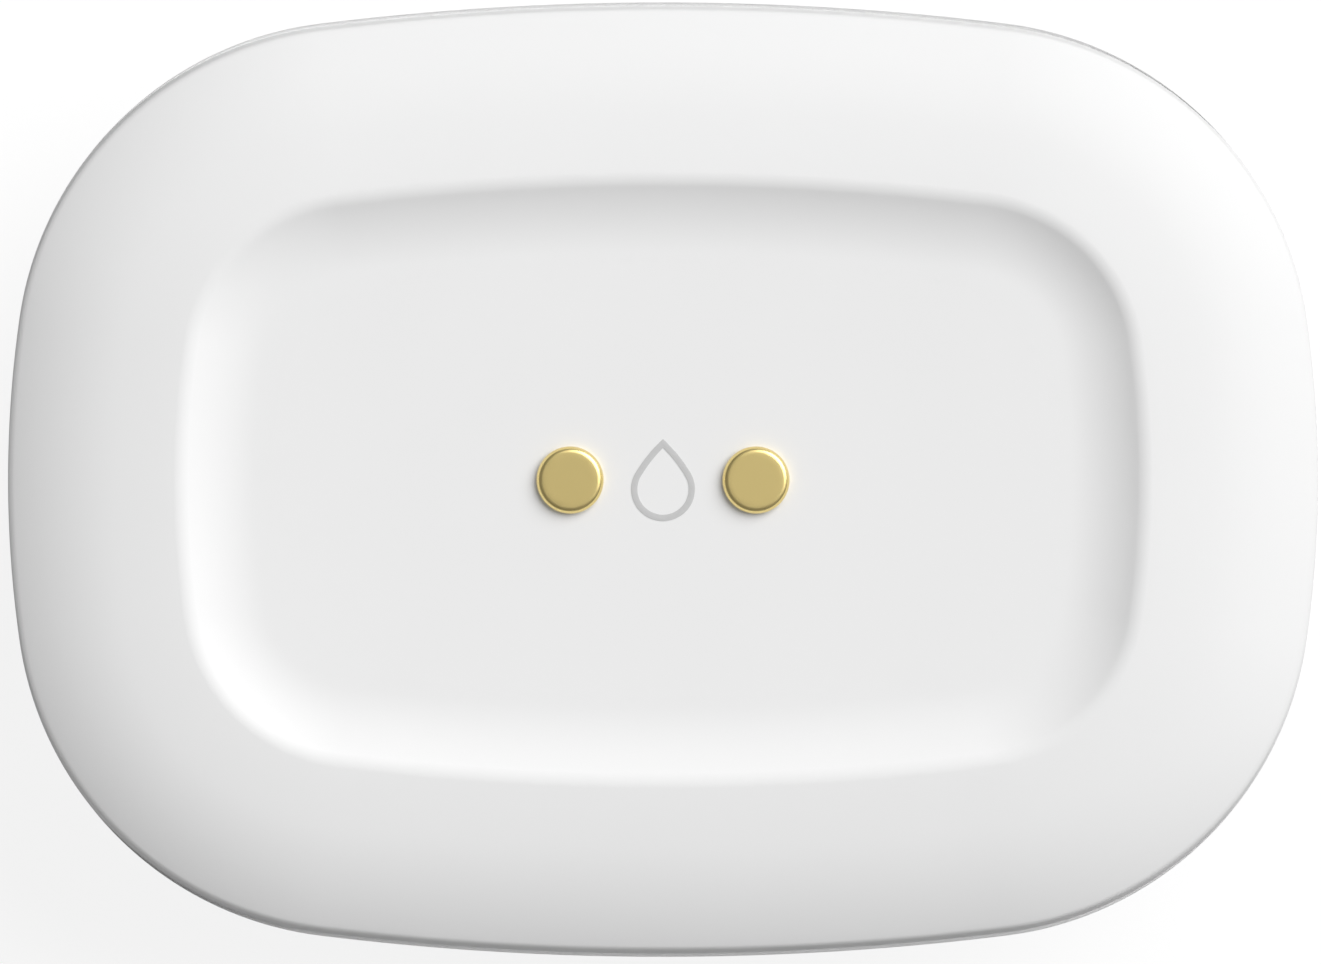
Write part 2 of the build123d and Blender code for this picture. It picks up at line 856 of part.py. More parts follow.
def lower_probe(x):
    """A probe under the case, through the base's floor."""
    turned = Rot(180, 0, 0) * probe(lower_shank_end - foot_stand)
    return Pos(x, lower_probe_offset, foot_stand) * turned


def probe_nut(x, y, bottom):
    """A hexagonal nut on a probe's shank."""
    hexagon = RegularPolygon(probe_nut_flats / 2, 6, major_radius=False)
    nut = extrude(hexagon, probe_nut_height)
    hole = probe_shank_radius + probe_nut_fit
    return Pos(x, y, bottom) * (nut - cylinder(hole, 0, probe_nut_height))


def probe_seal(x, y, middle):
    """A round-section sealing ring on a probe's shank."""
    room = (seal_pocket_radius - probe_shank_radius) / 2
    return Pos(x, y, middle) * Torus(probe_shank_radius + room, room - probe_seal_gap)


def pair(make, *rest):
    """Two like pieces, one at each probe, as separate solids of one node."""
    return Compound(children=[make(x, *rest) for x in (-probe_x, probe_x)])


def case_screws():
    """The four screws that hold the cover and the base together."""
    shank_top = post_top + case_screw_bite
    screws = []
    for x, y in post_places():
        head_low = case_screw_seat - case_screw_head_height
        screw = cylinder(case_screw_head_radius, head_low, case_screw_seat)
        screw += cylinder(case_screw_radius, head_low, shank_top)
        drive = extrude(RegularPolygon(drive_radius, 6), drive_depth)
        screw -= Pos(0, 0, head_low) * drive
        screws.append(Pos(x, y, 0) * screw)
    return Compound(children=screws)


def board_screws():
    """The three screws that hold the board under the cover."""
    screws = []
    for x, y in board_screw_places():
        head_low = board_bottom - board_screw_head_height
        screw = cylinder(board_screw_head_radius, head_low, board_bottom)
        screw += cylinder(board_screw_radius, head_low, board_top + board_screw_bite)
        drive = extrude(RegularPolygon(drive_radius, 6), drive_depth)
        screw -= Pos(0, 0, head_low) * drive
        screws.append(Pos(x, y, 0) * screw)
    return Compound(children=screws)


def foot_pads():
    """The four soft pads that the sensor stands on, one over each case screw."""
    pads = []
    for x, y in post_places():
        pad = cylinder(foot_radius, 0, foot_stand + foot_recess_depth)
        pads.append(Pos(x, y, 0) * fillet(pad.edges().group_by(Axis.Z)[0], foot_edge_radius))
    return Compound(children=pads)


switch_bottom = board_bottom - switch_height
plunger_bottom = switch_bottom - plunger_height + switch_cover_thickness + plunger_stop_gap


def pairing_button():
    """The button's cap in the ledge and its stem up to the switch."""
    cap_low = floor_top + button_recess
    cap = cylinder(button_cap_radius, cap_low, cap_low + button_cap_height)
    cap = fillet(cap.edges().group_by(Axis.Z)[0], button_face_round)
    stem = cylinder(button_stem_radius, cap_low + button_cap_height, plunger_bottom)
    collar_low = guide_top + button_collar_gap
    collar = cylinder(button_collar_radius, collar_low, collar_low + button_collar_height)
    return Pos(button_x, button_y, 0) * (cap + stem + collar)


def switch_plunger():
    """The switch's own plunger, which the stem pushes up."""
    plunger = cylinder(plunger_radius, plunger_bottom, plunger_bottom + plunger_height)
    return Pos(button_x, button_y, 0) * plunger


def tact_switch():
    """The switch under the board, hollow where its plunger travels."""
    switch = block(switch_size, switch_size, switch_bottom, board_bottom, button_x, button_y)
    upright = switch.edges().filter_by(Axis.Z)
    switch = chamfer(upright, switch_cover_thickness)
    room = plunger_bottom + plunger_height + button_travel + plunger_stop_gap
    return switch - cylinder(plunger_radius + plunger_gap, 0, room, button_x, button_y)


pin_barrel_low = lower_shank_end + pin_plunger_length


def pin_barrel(x):
    """A contact pin's barrel, soldered under the board."""
    barrel = cylinder(pin_barrel_radius, pin_barrel_low, board_bottom, x, lower_probe_offset)
    collar_low = board_bottom - pin_collar_height
    return barrel + cylinder(pin_collar_radius, collar_low, board_bottom, x, lower_probe_offset)


def pin_plunger(x):
    """A contact pin's sprung plunger, which rests on the lower probe's shank."""
    body = cylinder(pin_plunger_radius, lower_shank_end, pin_barrel_low, x, lower_probe_offset)
    return fillet(body.edges().group_by(Axis.Z)[0], pin_plunger_radius / 2)


def radio_place():
    """Place of the radio module, just clear of the cover's left post."""
    post_side = post_places()[1][0] + cover_post_radius + post_clearance
    return post_side + radio_size[0] / 2, radio_share * width / 2


def under_board(size, place, drop=0):
    """A chip that hangs under the board at a place."""
    x, y = place
    top = board_bottom - drop
    chip = block(size[0], size[1], top - size[2], top, x, y)
    return chamfer(chip.edges().group_by(Axis.Z)[0], min(chip_edge, size[2] / 4))


def radio_shield():
    """The folded metal can over the radio module, open towards it."""
    drop = radio_size[2]
    x, y = radio_place()
    top = board_bottom - drop
    can = block(shield_size[0], shield_size[1], top - shield_size[2], top, x, y)
    can = fillet(can.edges().group_by(Axis.Z)[0], shield_wall)
    room_low = top - shield_size[2] + shield_wall
    inner = [side - 2 * shield_wall for side in shield_size[:2]]
    return can - block(inner[0], inner[1], room_low, height, x, y)


def antenna():
    """The bent strip antenna: a level bar on two legs under the board."""
    x, y = at_share(antenna_share)
    half = antenna_length / 2
    low = board_bottom - antenna_drop
    second_leg = -half + 3 * antenna_strip
    points = [
        (-half, board_bottom),
        (-half, low),
        (half, low),
        (half, low + antenna_strip),
        (second_leg, low + antenna_strip),
        (second_leg, board_bottom),
        (second_leg - antenna_strip, board_bottom),
        (second_leg - antenna_strip, low + antenna_strip),
        (antenna_strip - half, low + antenna_strip),
        (antenna_strip - half, board_bottom),
    ]
    face = Plane.XZ * Face(Wire.make_polygon([(px + x, pz) for px, pz in points], close=True))
    return Pos(0, y, 0) * extrude(face, antenna_thickness / 2, both=True)


def status_light():
    """The light on top of the board, under the middle of the dish."""
    body = block(light_size[0], light_size[1], board_top, board_top + light_size[2])
    lens_top = board_top + light_size[2] + light_lens_size[2]
    return body + block(light_lens_size[0], light_lens_size[1], board_top, lens_top)


def chips(size, shares):
    """Like small parts under the board, as separate solids of one node."""
    return Compound(children=[under_board(size, at_share(share)) for share in shares])


nodes = {
    "top_cover": top_cover,
    "base_case": base_case,
    "battery_door": battery_door,
    "door_seal": door_seal,
    "cover_seal": cover_seal,
    "foot_pads": foot_pads,
    "case_screws": case_screws,
    "board_screws": board_screws,
    "circuit_board": circuit_board,
    "upper_probe_left": lambda: upper_probe(-probe_x),
    "upper_probe_right": lambda: upper_probe(probe_x),
    "lower_probe_left": lambda: lower_probe(-probe_x),
    "lower_probe_right": lambda: lower_probe(probe_x),
    "upper_probe_nuts": lambda: pair(probe_nut, 0, board_bottom - probe_nut_height),
    "lower_probe_nuts": lambda: pair(probe_nut, lower_probe_offset, lower_nut_z),
    "upper_probe_seals": lambda: pair(probe_seal, 0, board_top + seal_pocket_depth / 2),
    "lower_probe_seals": lambda: pair(
        probe_seal, lower_probe_offset, lower_nut_z - seal_pocket_depth / 2
    ),
    "contact_pin_barrels": lambda: pair(pin_barrel),
    "contact_pin_plungers": lambda: pair(pin_plunger),
    "battery_holder": battery_holder,
    "positive_contact": positive_contact,
    "negative_contact": negative_contact,
    "cell_can": cell_can,
    "cell_sleeve": cell_sleeve,
    "cell_washer": cell_washer,
    "pairing_button": pairing_button,
    "switch_plunger": switch_plunger,
    "tact_switch": tact_switch,
    "radio_module": lambda: under_board(radio_size, radio_place()),
    "radio_shield": radio_shield,
    "antenna": antenna,
    "microcontroller": lambda: under_board(controller_size, at_share(controller_share)),
    "crystal": lambda: under_board(crystal_size, at_share(crystal_share)),
    "temperature_sensor": lambda: under_board(thermistor_size, at_share(thermistor_share)),
    "capacitors": lambda: chips(capacitor_size, capacitor_shares),
    "resistors": lambda: chips(resistor_size, resistor_shares),
    "status_light": status_light,
}

os.makedirs("parts", exist_ok=True)
for name, make in nodes.items():
    export_step(make(), "parts/" + name + ".step")
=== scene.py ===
"""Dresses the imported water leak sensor.

The white cover, the probes, the drop sign and the cell's sleeve are surfaces worked out here with
numpy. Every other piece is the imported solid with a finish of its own. Sizes are in millimetres and go
into the meshes in metres.
"""

import json
import logging
import math
from dataclasses import dataclass, field
from enum import Enum

import bpy
import numpy as np
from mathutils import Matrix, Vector


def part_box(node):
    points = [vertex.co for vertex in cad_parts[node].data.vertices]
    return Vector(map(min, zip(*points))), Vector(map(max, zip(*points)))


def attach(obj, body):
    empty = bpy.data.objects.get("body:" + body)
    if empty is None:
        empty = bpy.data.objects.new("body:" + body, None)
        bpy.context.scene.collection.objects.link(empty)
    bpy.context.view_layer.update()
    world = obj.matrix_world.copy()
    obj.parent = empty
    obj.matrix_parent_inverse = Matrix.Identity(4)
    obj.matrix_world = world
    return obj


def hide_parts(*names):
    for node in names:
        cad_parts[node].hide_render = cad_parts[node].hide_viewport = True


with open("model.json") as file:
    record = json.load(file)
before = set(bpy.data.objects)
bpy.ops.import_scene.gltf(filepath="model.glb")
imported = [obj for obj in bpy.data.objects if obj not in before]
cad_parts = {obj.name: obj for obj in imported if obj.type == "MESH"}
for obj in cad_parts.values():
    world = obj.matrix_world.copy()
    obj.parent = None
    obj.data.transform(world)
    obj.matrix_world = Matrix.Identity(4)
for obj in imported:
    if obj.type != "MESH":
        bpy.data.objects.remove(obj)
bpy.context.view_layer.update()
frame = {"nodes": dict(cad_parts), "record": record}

logging.basicConfig(level=logging.INFO, format="%(name)s: %(message)s")
log = logging.getLogger("sensor")

MM = 0.001
SHARP_ANGLE = math.radians(35.0)
# Points nearer to each other than this become one point.
WELD = 1e-5
# The cover is laid this much lower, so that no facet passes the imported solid's box.
FACET_ROOM = 0.004
CORNER_SIGNS = ((-1, -1), (1, -1), (1, 1), (-1, 1))
# Where a mix node has its two values and its two colours among its inputs.
MIX_VALUES = (2, 3)
MIX_COLOURS = (6, 7)

Pair = tuple[float, float]
Colour = tuple[float, float, float]
# Each move's radius, turn in degrees and number of steps.
Moves = list[tuple[float, float, int]]
Surface = tuple[np.ndarray, np.ndarray]
Finishes = dict[str, bpy.types.Material]
Source = bpy.types.Node | bpy.types.NodeSocket


class Body(Enum):
    """The moving bodies that the made pieces ride on."""

    CASE = "case"
    CELL = "cell"


class Axis(Enum):
    """The axis that a turned piece is turned about."""

    UP = "up"
    DOWN = "down"
    ALONG = "along"


class Ends(Enum):
    """How a stack of rings ends: closed by a point each, or the last ring joined to the first."""

    CAPPED = "capped"
    LOOPED = "looped"


def node_box(name: str) -> tuple[Vector, Vector]:
    """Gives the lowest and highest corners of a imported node, in millimetres."""
    low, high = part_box(name)
    return low / MM, high / MM


def stand(name: str, data: bpy.types.ID) -> bpy.types.Object:
    """Makes an object of a mesh, a lamp or a camera and puts it into the scene."""
    thing = bpy.data.objects.new(name, data)
    bpy.context.scene.collection.objects.link(thing)
    return thing


def sheet(rings: np.ndarray) -> Surface:
    """Joins rings of points whose columns run round and meet.

    Args:
        rings: Points as rows of rings, each with as many columns.

    Returns:
        The vertices and the quads, which turn the same way as the rings when the rows go inwards.
    """
    point = np.arange(rings[..., 0].size).reshape(rings.shape[:2])
    beside = np.roll(point, -1, axis=1)
    quads = np.stack([point[:-1], beside[:-1], beside[1:], point[1:]], axis=-1)
    return rings.reshape(-1, 3), quads.reshape(-1, 4)


def gathered(parts: list[Surface]) -> Surface:
    """Puts several surfaces into one list of vertices and quads, each as it is."""
    shifts = np.cumsum([0] + [len(points) for points, _ in parts[:-1]])
    points = np.vstack([some for some, _ in parts])
    return points, np.vstack([quads + shift for (_, quads), shift in zip(parts, shifts)])


def welded(parts: list[Surface]) -> Surface:
    """Puts sheets that turn the same way into one closed surface with its faces outwards.

    Points at one place become one point. The volume under the faces is the sum over both halves of
    each quad of a corner dot the cross product of the other two, and its sign tells which way they
    look.

    Args:
        parts: The sheets' vertices and quads.

    Returns:
        The vertices and the quads.
    """
    points, faces = gathered(parts)
    keys = np.round(points / WELD).astype(np.int64)
    _, first, member = np.unique(keys, axis=0, return_index=True, return_inverse=True)
    points, faces = points[first], member.reshape(-1)[faces]
    a, b, c, d = (points[faces[:, corner]] for corner in range(4))
    volume = np.einsum("ij,ij->", a, np.cross(b, c)) + np.einsum("ij,ij->", a, np.cross(c, d))
    return points, faces if volume > 0 else faces[:, ::-1]


def closed(rings: np.ndarray, ends: Ends = Ends.CAPPED) -> Surface:
    """Makes a closed surface of a stack of rings, with its faces outwards.

    Args:
        rings: Points as rows of rings, each with as many columns.
        ends: How the stack's two ends are closed.

    Returns:
        The vertices and the quads.
    """
    if ends is Ends.LOOPED:
        return welded([sheet(np.concatenate([rings, rings[:1]]))])
    first, last = (np.broadcast_to(ring.mean(axis=0), (1, *ring.shape)) for ring in rings[[0, -1]])
    return welded([sheet(np.concatenate([first, rings, last]))])


def arc_profile(start: Pair, slope: float, moves: Moves) -> np.ndarray:
    """Runs a profile on from a start as tangent arcs and straight runs.

    On an arc the place goes on by the radius times the change in the heading's sine, and the height
    by the radius times the change in its cosine. A positive turn bends the profile upwards. For a
    turn of zero the radius is the length of a straight run.

    Args:
        start: The first point, as inset and height.
        slope: The first heading in degrees above level, outwards.
        moves: The arcs and runs.

    Returns:
        Rows of inset and height.
    """
    place = np.array(start, dtype=float)
    heading = math.radians(slope)
    points = [place[None, :]]
    for radius, turn, steps in moves:
        share = np.linspace(0.0, 1.0, steps + 1)[1:]
        if turn:
            side = math.copysign(1.0, turn)
            angles = heading + math.radians(turn) * share
            across = side * radius * (np.sin(angles) - math.sin(heading))
            up = side * radius * (math.cos(heading) - np.cos(angles))
            heading += math.radians(turn)
        else:
            across = radius * share * math.cos(heading)
            up = radius * share * math.sin(heading)
        run = np.stack([place[0] - across, place[1] + up], axis=-1)
        points.append(run)
        place = run[-1]
    return np.vstack(points)


def turned(
    profile: np.ndarray, centre: Vector, axis: Axis, steps: int, ends: Ends = Ends.CAPPED
) -> Surface:
    """Turns a profile once round an axis.

    A point lies at the centre, moved along the axis by the distance and away from it by the
    radius times the cosine and sine of the turn.

    Args:
        profile: Rows of radius and distance along the axis.
        centre: The point on the axis at distance zero, in millimetres.
        axis: The axis that the profile is turned about.
        steps: How many points each ring has.
        ends: Whether the profile's ends are closed or join each other.

    Returns:
        The vertices and the quads.
    """
    turn = np.linspace(0.0, 2 * math.pi, steps, endpoint=False)
    radius = profile[:, 0][:, None]
    along = np.broadcast_to(profile[:, 1][:, None], (len(profile), steps))
    first = radius * np.cos(turn)
    second = radius * np.sin(turn)
    order = {
        Axis.UP: (first, second, along),
        Axis.DOWN: (first, -second, -along),
        Axis.ALONG: (along, first, second),
    }
    return closed(np.stack(order[axis], axis=-1) + np.array(centre), ends)


@dataclass(frozen=True)
class Role:
    """What a made piece is to the model: its body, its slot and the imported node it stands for."""

    name: str
    body: Body
    slot: str
    node: str = ""

    def place(self, surface: Surface, finish: bpy.types.Material) -> None:
        """Makes the piece, smooth but for its sharp edges, and gives it its role and its finish.

        Args:
            surface: Vertices in millimetres and quads; a quad that repeats a corner is a triangle.
            finish: The piece's material.
        """
        points, faces = surface
        corners = [tuple(dict.fromkeys(face)) for face in faces.tolist()]
        mesh = bpy.data.meshes.new(self.name)
        mesh.from_pydata((points * MM).tolist(), [], [face for face in corners if len(face) > 2])
        mesh.polygons.foreach_set("use_smooth", np.ones(len(mesh.polygons), dtype=bool))
        mesh.set_sharp_from_angle(angle=SHARP_ANGLE)
        mesh.validate()
        mesh.update()
        mesh.materials.append(finish)
        piece = stand(self.name, mesh)
        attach(piece, self.body.value)
        if self.node:
            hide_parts(self.node)
        log.info("%s made of %d faces, dressed as %s", self.name, len(mesh.polygons), finish.name)


@dataclass(frozen=True)
class Noise:
    """A noise of so many cells to a millimetre."""

    per_mm: float
    detail: float = 2.0
    roughness: float = 0.5


class Nodes:
    """A node tree with a short call that adds a node and joins it to the others."""

    def __init__(self, owner: bpy.types.Material | bpy.types.World) -> None:
        """Starts the owner's tree empty."""
        owner.use_nodes = True
        self.tree = owner.node_tree
        self.tree.nodes.clear()

    def enter(self, node: bpy.types.Node, entries: dict[str | int, object]) -> None:
        """Fills a node's inputs.

        Args:
            node: The node.
            entries: For an input's name or number a value, an output, or a node for its first output.
        """
        for key, value in entries.items():
            if isinstance(value, bpy.types.Node):
                value = value.outputs[0]
            if isinstance(value, bpy.types.NodeSocket):
                self.tree.links.new(value, node.inputs[key])
            else:
                node.inputs[key].default_value = value

    def add(
        self, kind: str, entries: dict[str | int, object] | None = None, **settings: object
    ) -> bpy.types.Node:
        """Adds a node.

        Args:
            kind: The node's type.
            entries: What its inputs are filled with, as in enter.
            settings: Values for its properties.

        Returns:
            The new node.
        """
        node = self.tree.nodes.new(kind)
        for key, value in settings.items():
            setattr(node, key, value)
        self.enter(node, entries or {})
        return node

    def combine(
        self, operation: str, first: Source | float, second: Source | float
    ) -> bpy.types.Node:
        """Adds an operation on two values."""
        return self.add("ShaderNodeMath", {0: first, 1: second}, operation=operation)

    def mix(self, share: Source, first: Source | float, second: Source | float) -> bpy.types.Node:
        """Adds a mix of two values, which is the second where the share is one."""
        return self.add("ShaderNodeMix", {0: share, **dict(zip(MIX_VALUES, (first, second)))})

    def seen(self) -> bpy.types.Node:
        """Tells the rays that see the stage.

        Returns:
            A node with one for camera, glossy and transmission rays and nought for the others.
        """
        path = self.add("ShaderNodeLightPath").outputs
        first = self.combine("MAXIMUM", path["Is Camera Ray"], path["Is Glossy Ray"])
        return self.combine("MAXIMUM", first, path["Is Transmission Ray"])


class Graph(Nodes):
    """A finish's node graph, with the surface shader and the nodes that the finishes share."""

    def __init__(self, name: str) -> None:
        """Starts a material with a surface shader, its output and the place in millimetres.

        Args:
            name: The material's name.
        """
        self.material = bpy.data.materials.new(name)
        super().__init__(self.material)
        self.shader = self.add("ShaderNodeBsdfPrincipled")
        self.add("ShaderNodeOutputMaterial", {"Surface": self.shader})
        place = self.add("ShaderNodeTexCoord").outputs["Object"]
        self.point = self.add("ShaderNodeVectorMath", {0: place, "Scale": 1 / MM}, operation="SCALE")

    def set(self, **entries: object) -> None:
        """Fills the surface shader's inputs, with underscores for spaces."""
        self.enter(self.shader, {key.replace("_", " "): value for key, value in entries.items()})

    def noise(self, noise: Noise, stretch: Colour = (1.0, 1.0, 1.0)) -> bpy.types.Node:
        """Adds a noise, stretched along the axes."""
        mapping = self.add("ShaderNodeMapping", {"Vector": self.point, "Scale": stretch})
        scales = {"Scale": noise.per_mm, "Detail": noise.detail, "Roughness": noise.roughness}
        return self.add("ShaderNodeTexNoise", {"Vector": mapping, **scales})

    def step(self, source: Source, start: float, end: float) -> bpy.types.Node:
        """Turns a source into nought below a start and one above an end."""
        entries = {"Value": source, "From Min": start, "From Max": end}
        return self.add("ShaderNodeMapRange", entries, interpolation_type="SMOOTHSTEP")

    def colour(self, source: Source, dark: Colour, light: Colour) -> None:
        """Colours the surface between two colours by a source from nought to one."""
        ends = dict(zip(MIX_COLOURS, ((*dark, 1.0), (*light, 1.0))))
        mix = self.add("ShaderNodeMix", {"Factor": source, **ends}, data_type="RGBA")
        self.set(Base_Color=mix.outputs["Result"])

    def tint(self, source: Source, colour: Colour, low: float, high: float) -> None:
        """Colours the surface between a low and a high share of one colour, up to white."""
        dark, light = (tuple(min(part * share, 1.0) for part in colour) for share in (low, high))
        self.colour(source, dark, light)

    def gloss(self, source: Source, low: float, high: float) -> None:
        """Varies the roughness over a range by a source from nought to one."""
        entries = {"Value": source, "To Min": low, "To Max": high}
        self.set(Roughness=self.add("ShaderNodeMapRange", entries))

    def bump(self, source: Source, depth: float) -> None:
        """Raises the surface by a source times a depth in millimetres."""
        self.set(Normal=self.add("ShaderNodeBump", {"Height": source, "Distance": depth * MM}))


@dataclass(frozen=True)
class Finish:
    """A finish: a cloud noise shades its colour, and a grain noise varies its gloss and raises it.

    The colour goes down by the drift and up by the lift's share of it, and the roughness both ways by
    the gloss spread. The grain is stretched along the axes, and is like the cloud where none is given.
    """

    name: str
    colour: Colour
    drift: float = 0.03
    lift: float = 1.0
    cloud: Noise = Noise(7.0, detail=3.0)
    roughness: float = 0.5
    gloss_spread: float = 0.05
    grain: Noise | None = None
    grain_depth: float = 0.001
    stretch: Colour = (1.0, 1.0, 1.0)
    metallic: float = 0.0
    sheen_level: float = 0.5
    clearness: float = 0.0

    def shine(self, graph: Graph, grain: Source) -> None:
        """Varies the gloss with the grain."""
        graph.gloss(grain, self.roughness - self.gloss_spread, self.roughness + self.gloss_spread)

    def material(self) -> bpy.types.Material:
        """Builds the finish.

        Returns:
            The new material.
        """
        graph = Graph(self.name)
        graph.tint(graph.noise(self.cloud), self.colour, 1 - self.drift, 1 + self.drift * self.lift)
        grain = graph.noise(self.grain or self.cloud, self.stretch)
        self.shine(graph, grain)
        if self.grain_depth:
            graph.bump(grain, self.grain_depth)
        graph.set(Metallic=self.metallic, Transmission_Weight=self.clearness)
        graph.set(Specular_IOR_Level=self.sheen_level)
        return graph.material


@dataclass(frozen=True)
class MouldedPlastic(Finish):
    """Moulded plastic with a fine spark grain and a faint drift in its tone."""

    drift: float = 0.012
    cloud: Noise = Noise(0.12, detail=3.0)
    roughness: float = 0.42
    grain: Noise = Noise(14.0, detail=3.0, roughness=0.6)
    grain_depth: float = 0.0012
    sheen_level: float = 0.4


@dataclass(frozen=True)
class PlatedMetal(Finish):
    """Plated or drawn metal with fine tool marks along one direction."""

    drift: float = 0.08
    lift: float = 0.0
    cloud: Noise = Noise(0.5, detail=3.0)
    roughness: float = 0.25
    gloss_spread: float = 0.075
    grain: Noise = Noise(9.0, detail=4.0, roughness=0.65)
    metallic: float = 1.0


@dataclass(frozen=True)
class SoftRubber(Finish):
    """Rubber or silicone with a dull skin and a faint bloom."""

    drift: float = 0.1
    cloud: Noise = Noise(1.4, detail=5.0, roughness=0.7)
    roughness: float = 0.7
    gloss_spread: float = 0.08
    grain: Noise = Noise(11.0, detail=4.0)
    grain_depth: float = 0.004


@dataclass(frozen=True)
class PressedFibre(Finish):
    """Pressed paper fibre with a soft fleck."""

    drift: float = 0.12
    lift: float = 0.0
    cloud: Noise = Noise(6.0, detail=6.0, roughness=0.8)
    roughness: float = 0.85
    grain_depth: float = 0.01


@dataclass(frozen=True)
class ClearResin(Finish):
    """Clear resin with a faint warm body."""

    drift: float = 0.08
    lift: float = 0.0
    cloud: Noise = Noise(1.5)
    roughness: float = 0.12
    gloss_spread: float = 0.04
    grain_depth: float = 0.0
    clearness: float = 0.6


@dataclass(frozen=True)
class PrintedInk(Finish):
    """Matte pad-printed ink with a slightly uneven cover."""

    colour: Colour = (0.545, 0.545, 0.545)


@dataclass(frozen=True)
class ProbeGold(Finish):
    """Gold plating, blasted matte on the flat of a probe's head and polished round its edge."""

    colour: Colour = (0.9, 0.725, 0.31)
    cloud: Noise = Noise(30.0)
    roughness: float = 0.42
    polished_roughness: float = 0.2
    grain_depth: float = 0.0003
    metallic: float = 1.0
    centres: tuple[Pair, ...] = ()
    matte_radius: float = 1.27
    edge_width: float = 0.05
    far: float = 1e3

    def shine(self, graph: Graph, grain: Source) -> None:
        """Polishes what lies beyond a radius round the nearest probe's axis.

        Args:
            graph: The finish's graph.
            grain: Not used; this gloss stays even across the grain.
        """
        entries = {0: graph.point, 1: (1.0, 1.0, 0.0)}
        flat = graph.add("ShaderNodeVectorMath", entries, operation="MULTIPLY")
        nearest = self.far
        for x, y in self.centres:
            away = graph.add("ShaderNodeVectorMath", {0: flat, 1: (x, y, 0.0)}, operation="DISTANCE")
            nearest = graph.combine("MINIMUM", nearest, away.outputs["Value"])
        start, end = self.matte_radius - self.edge_width, self.matte_radius + self.edge_width
        graph.gloss(graph.step(nearest, start, end), self.roughness, self.polished_roughness)


@dataclass(frozen=True)
class BoardMask:
    """Green solder mask over raised tracks, with the glass weave faint in its gloss."""

    name: str
    mask: Colour = (0.012, 0.13, 0.055)
    track: Colour = (0.03, 0.23, 0.095)
    track_per_mm: float = 0.55
    track_scatter: float = 0.7
    track_pitch: float = 0.16
    track_edge: Pair = (0.62, 0.75)
    track_depth: float = 0.03
    weave_per_mm: float = 2.4
    weave_gloss: Pair = (0.3, 0.36)

    def material(self) -> bpy.types.Material:
        """Builds the finish: tracks are even bands of the distance from scattered square cells.

        Returns:
            The new material.
        """
        graph = Graph(self.name)
        entries = {"Vector": graph.point, "Scale": self.track_per_mm, "Randomness": self.track_scatter}
        cells = graph.add("ShaderNodeTexVoronoi", entries, feature="F1", distance="CHEBYCHEV")
        bands = graph.combine("PINGPONG", cells.outputs["Distance"], self.track_pitch)
        lines = graph.step(bands, *(share * self.track_pitch for share in self.track_edge))
        graph.colour(lines, self.mask, self.track)
        graph.bump(lines, self.track_depth)
        weave = graph.add("ShaderNodeTexChecker", {"Vector": graph.point, "Scale": self.weave_per_mm})
        graph.gloss(weave.outputs["Fac"], *self.weave_gloss)
        return graph.material


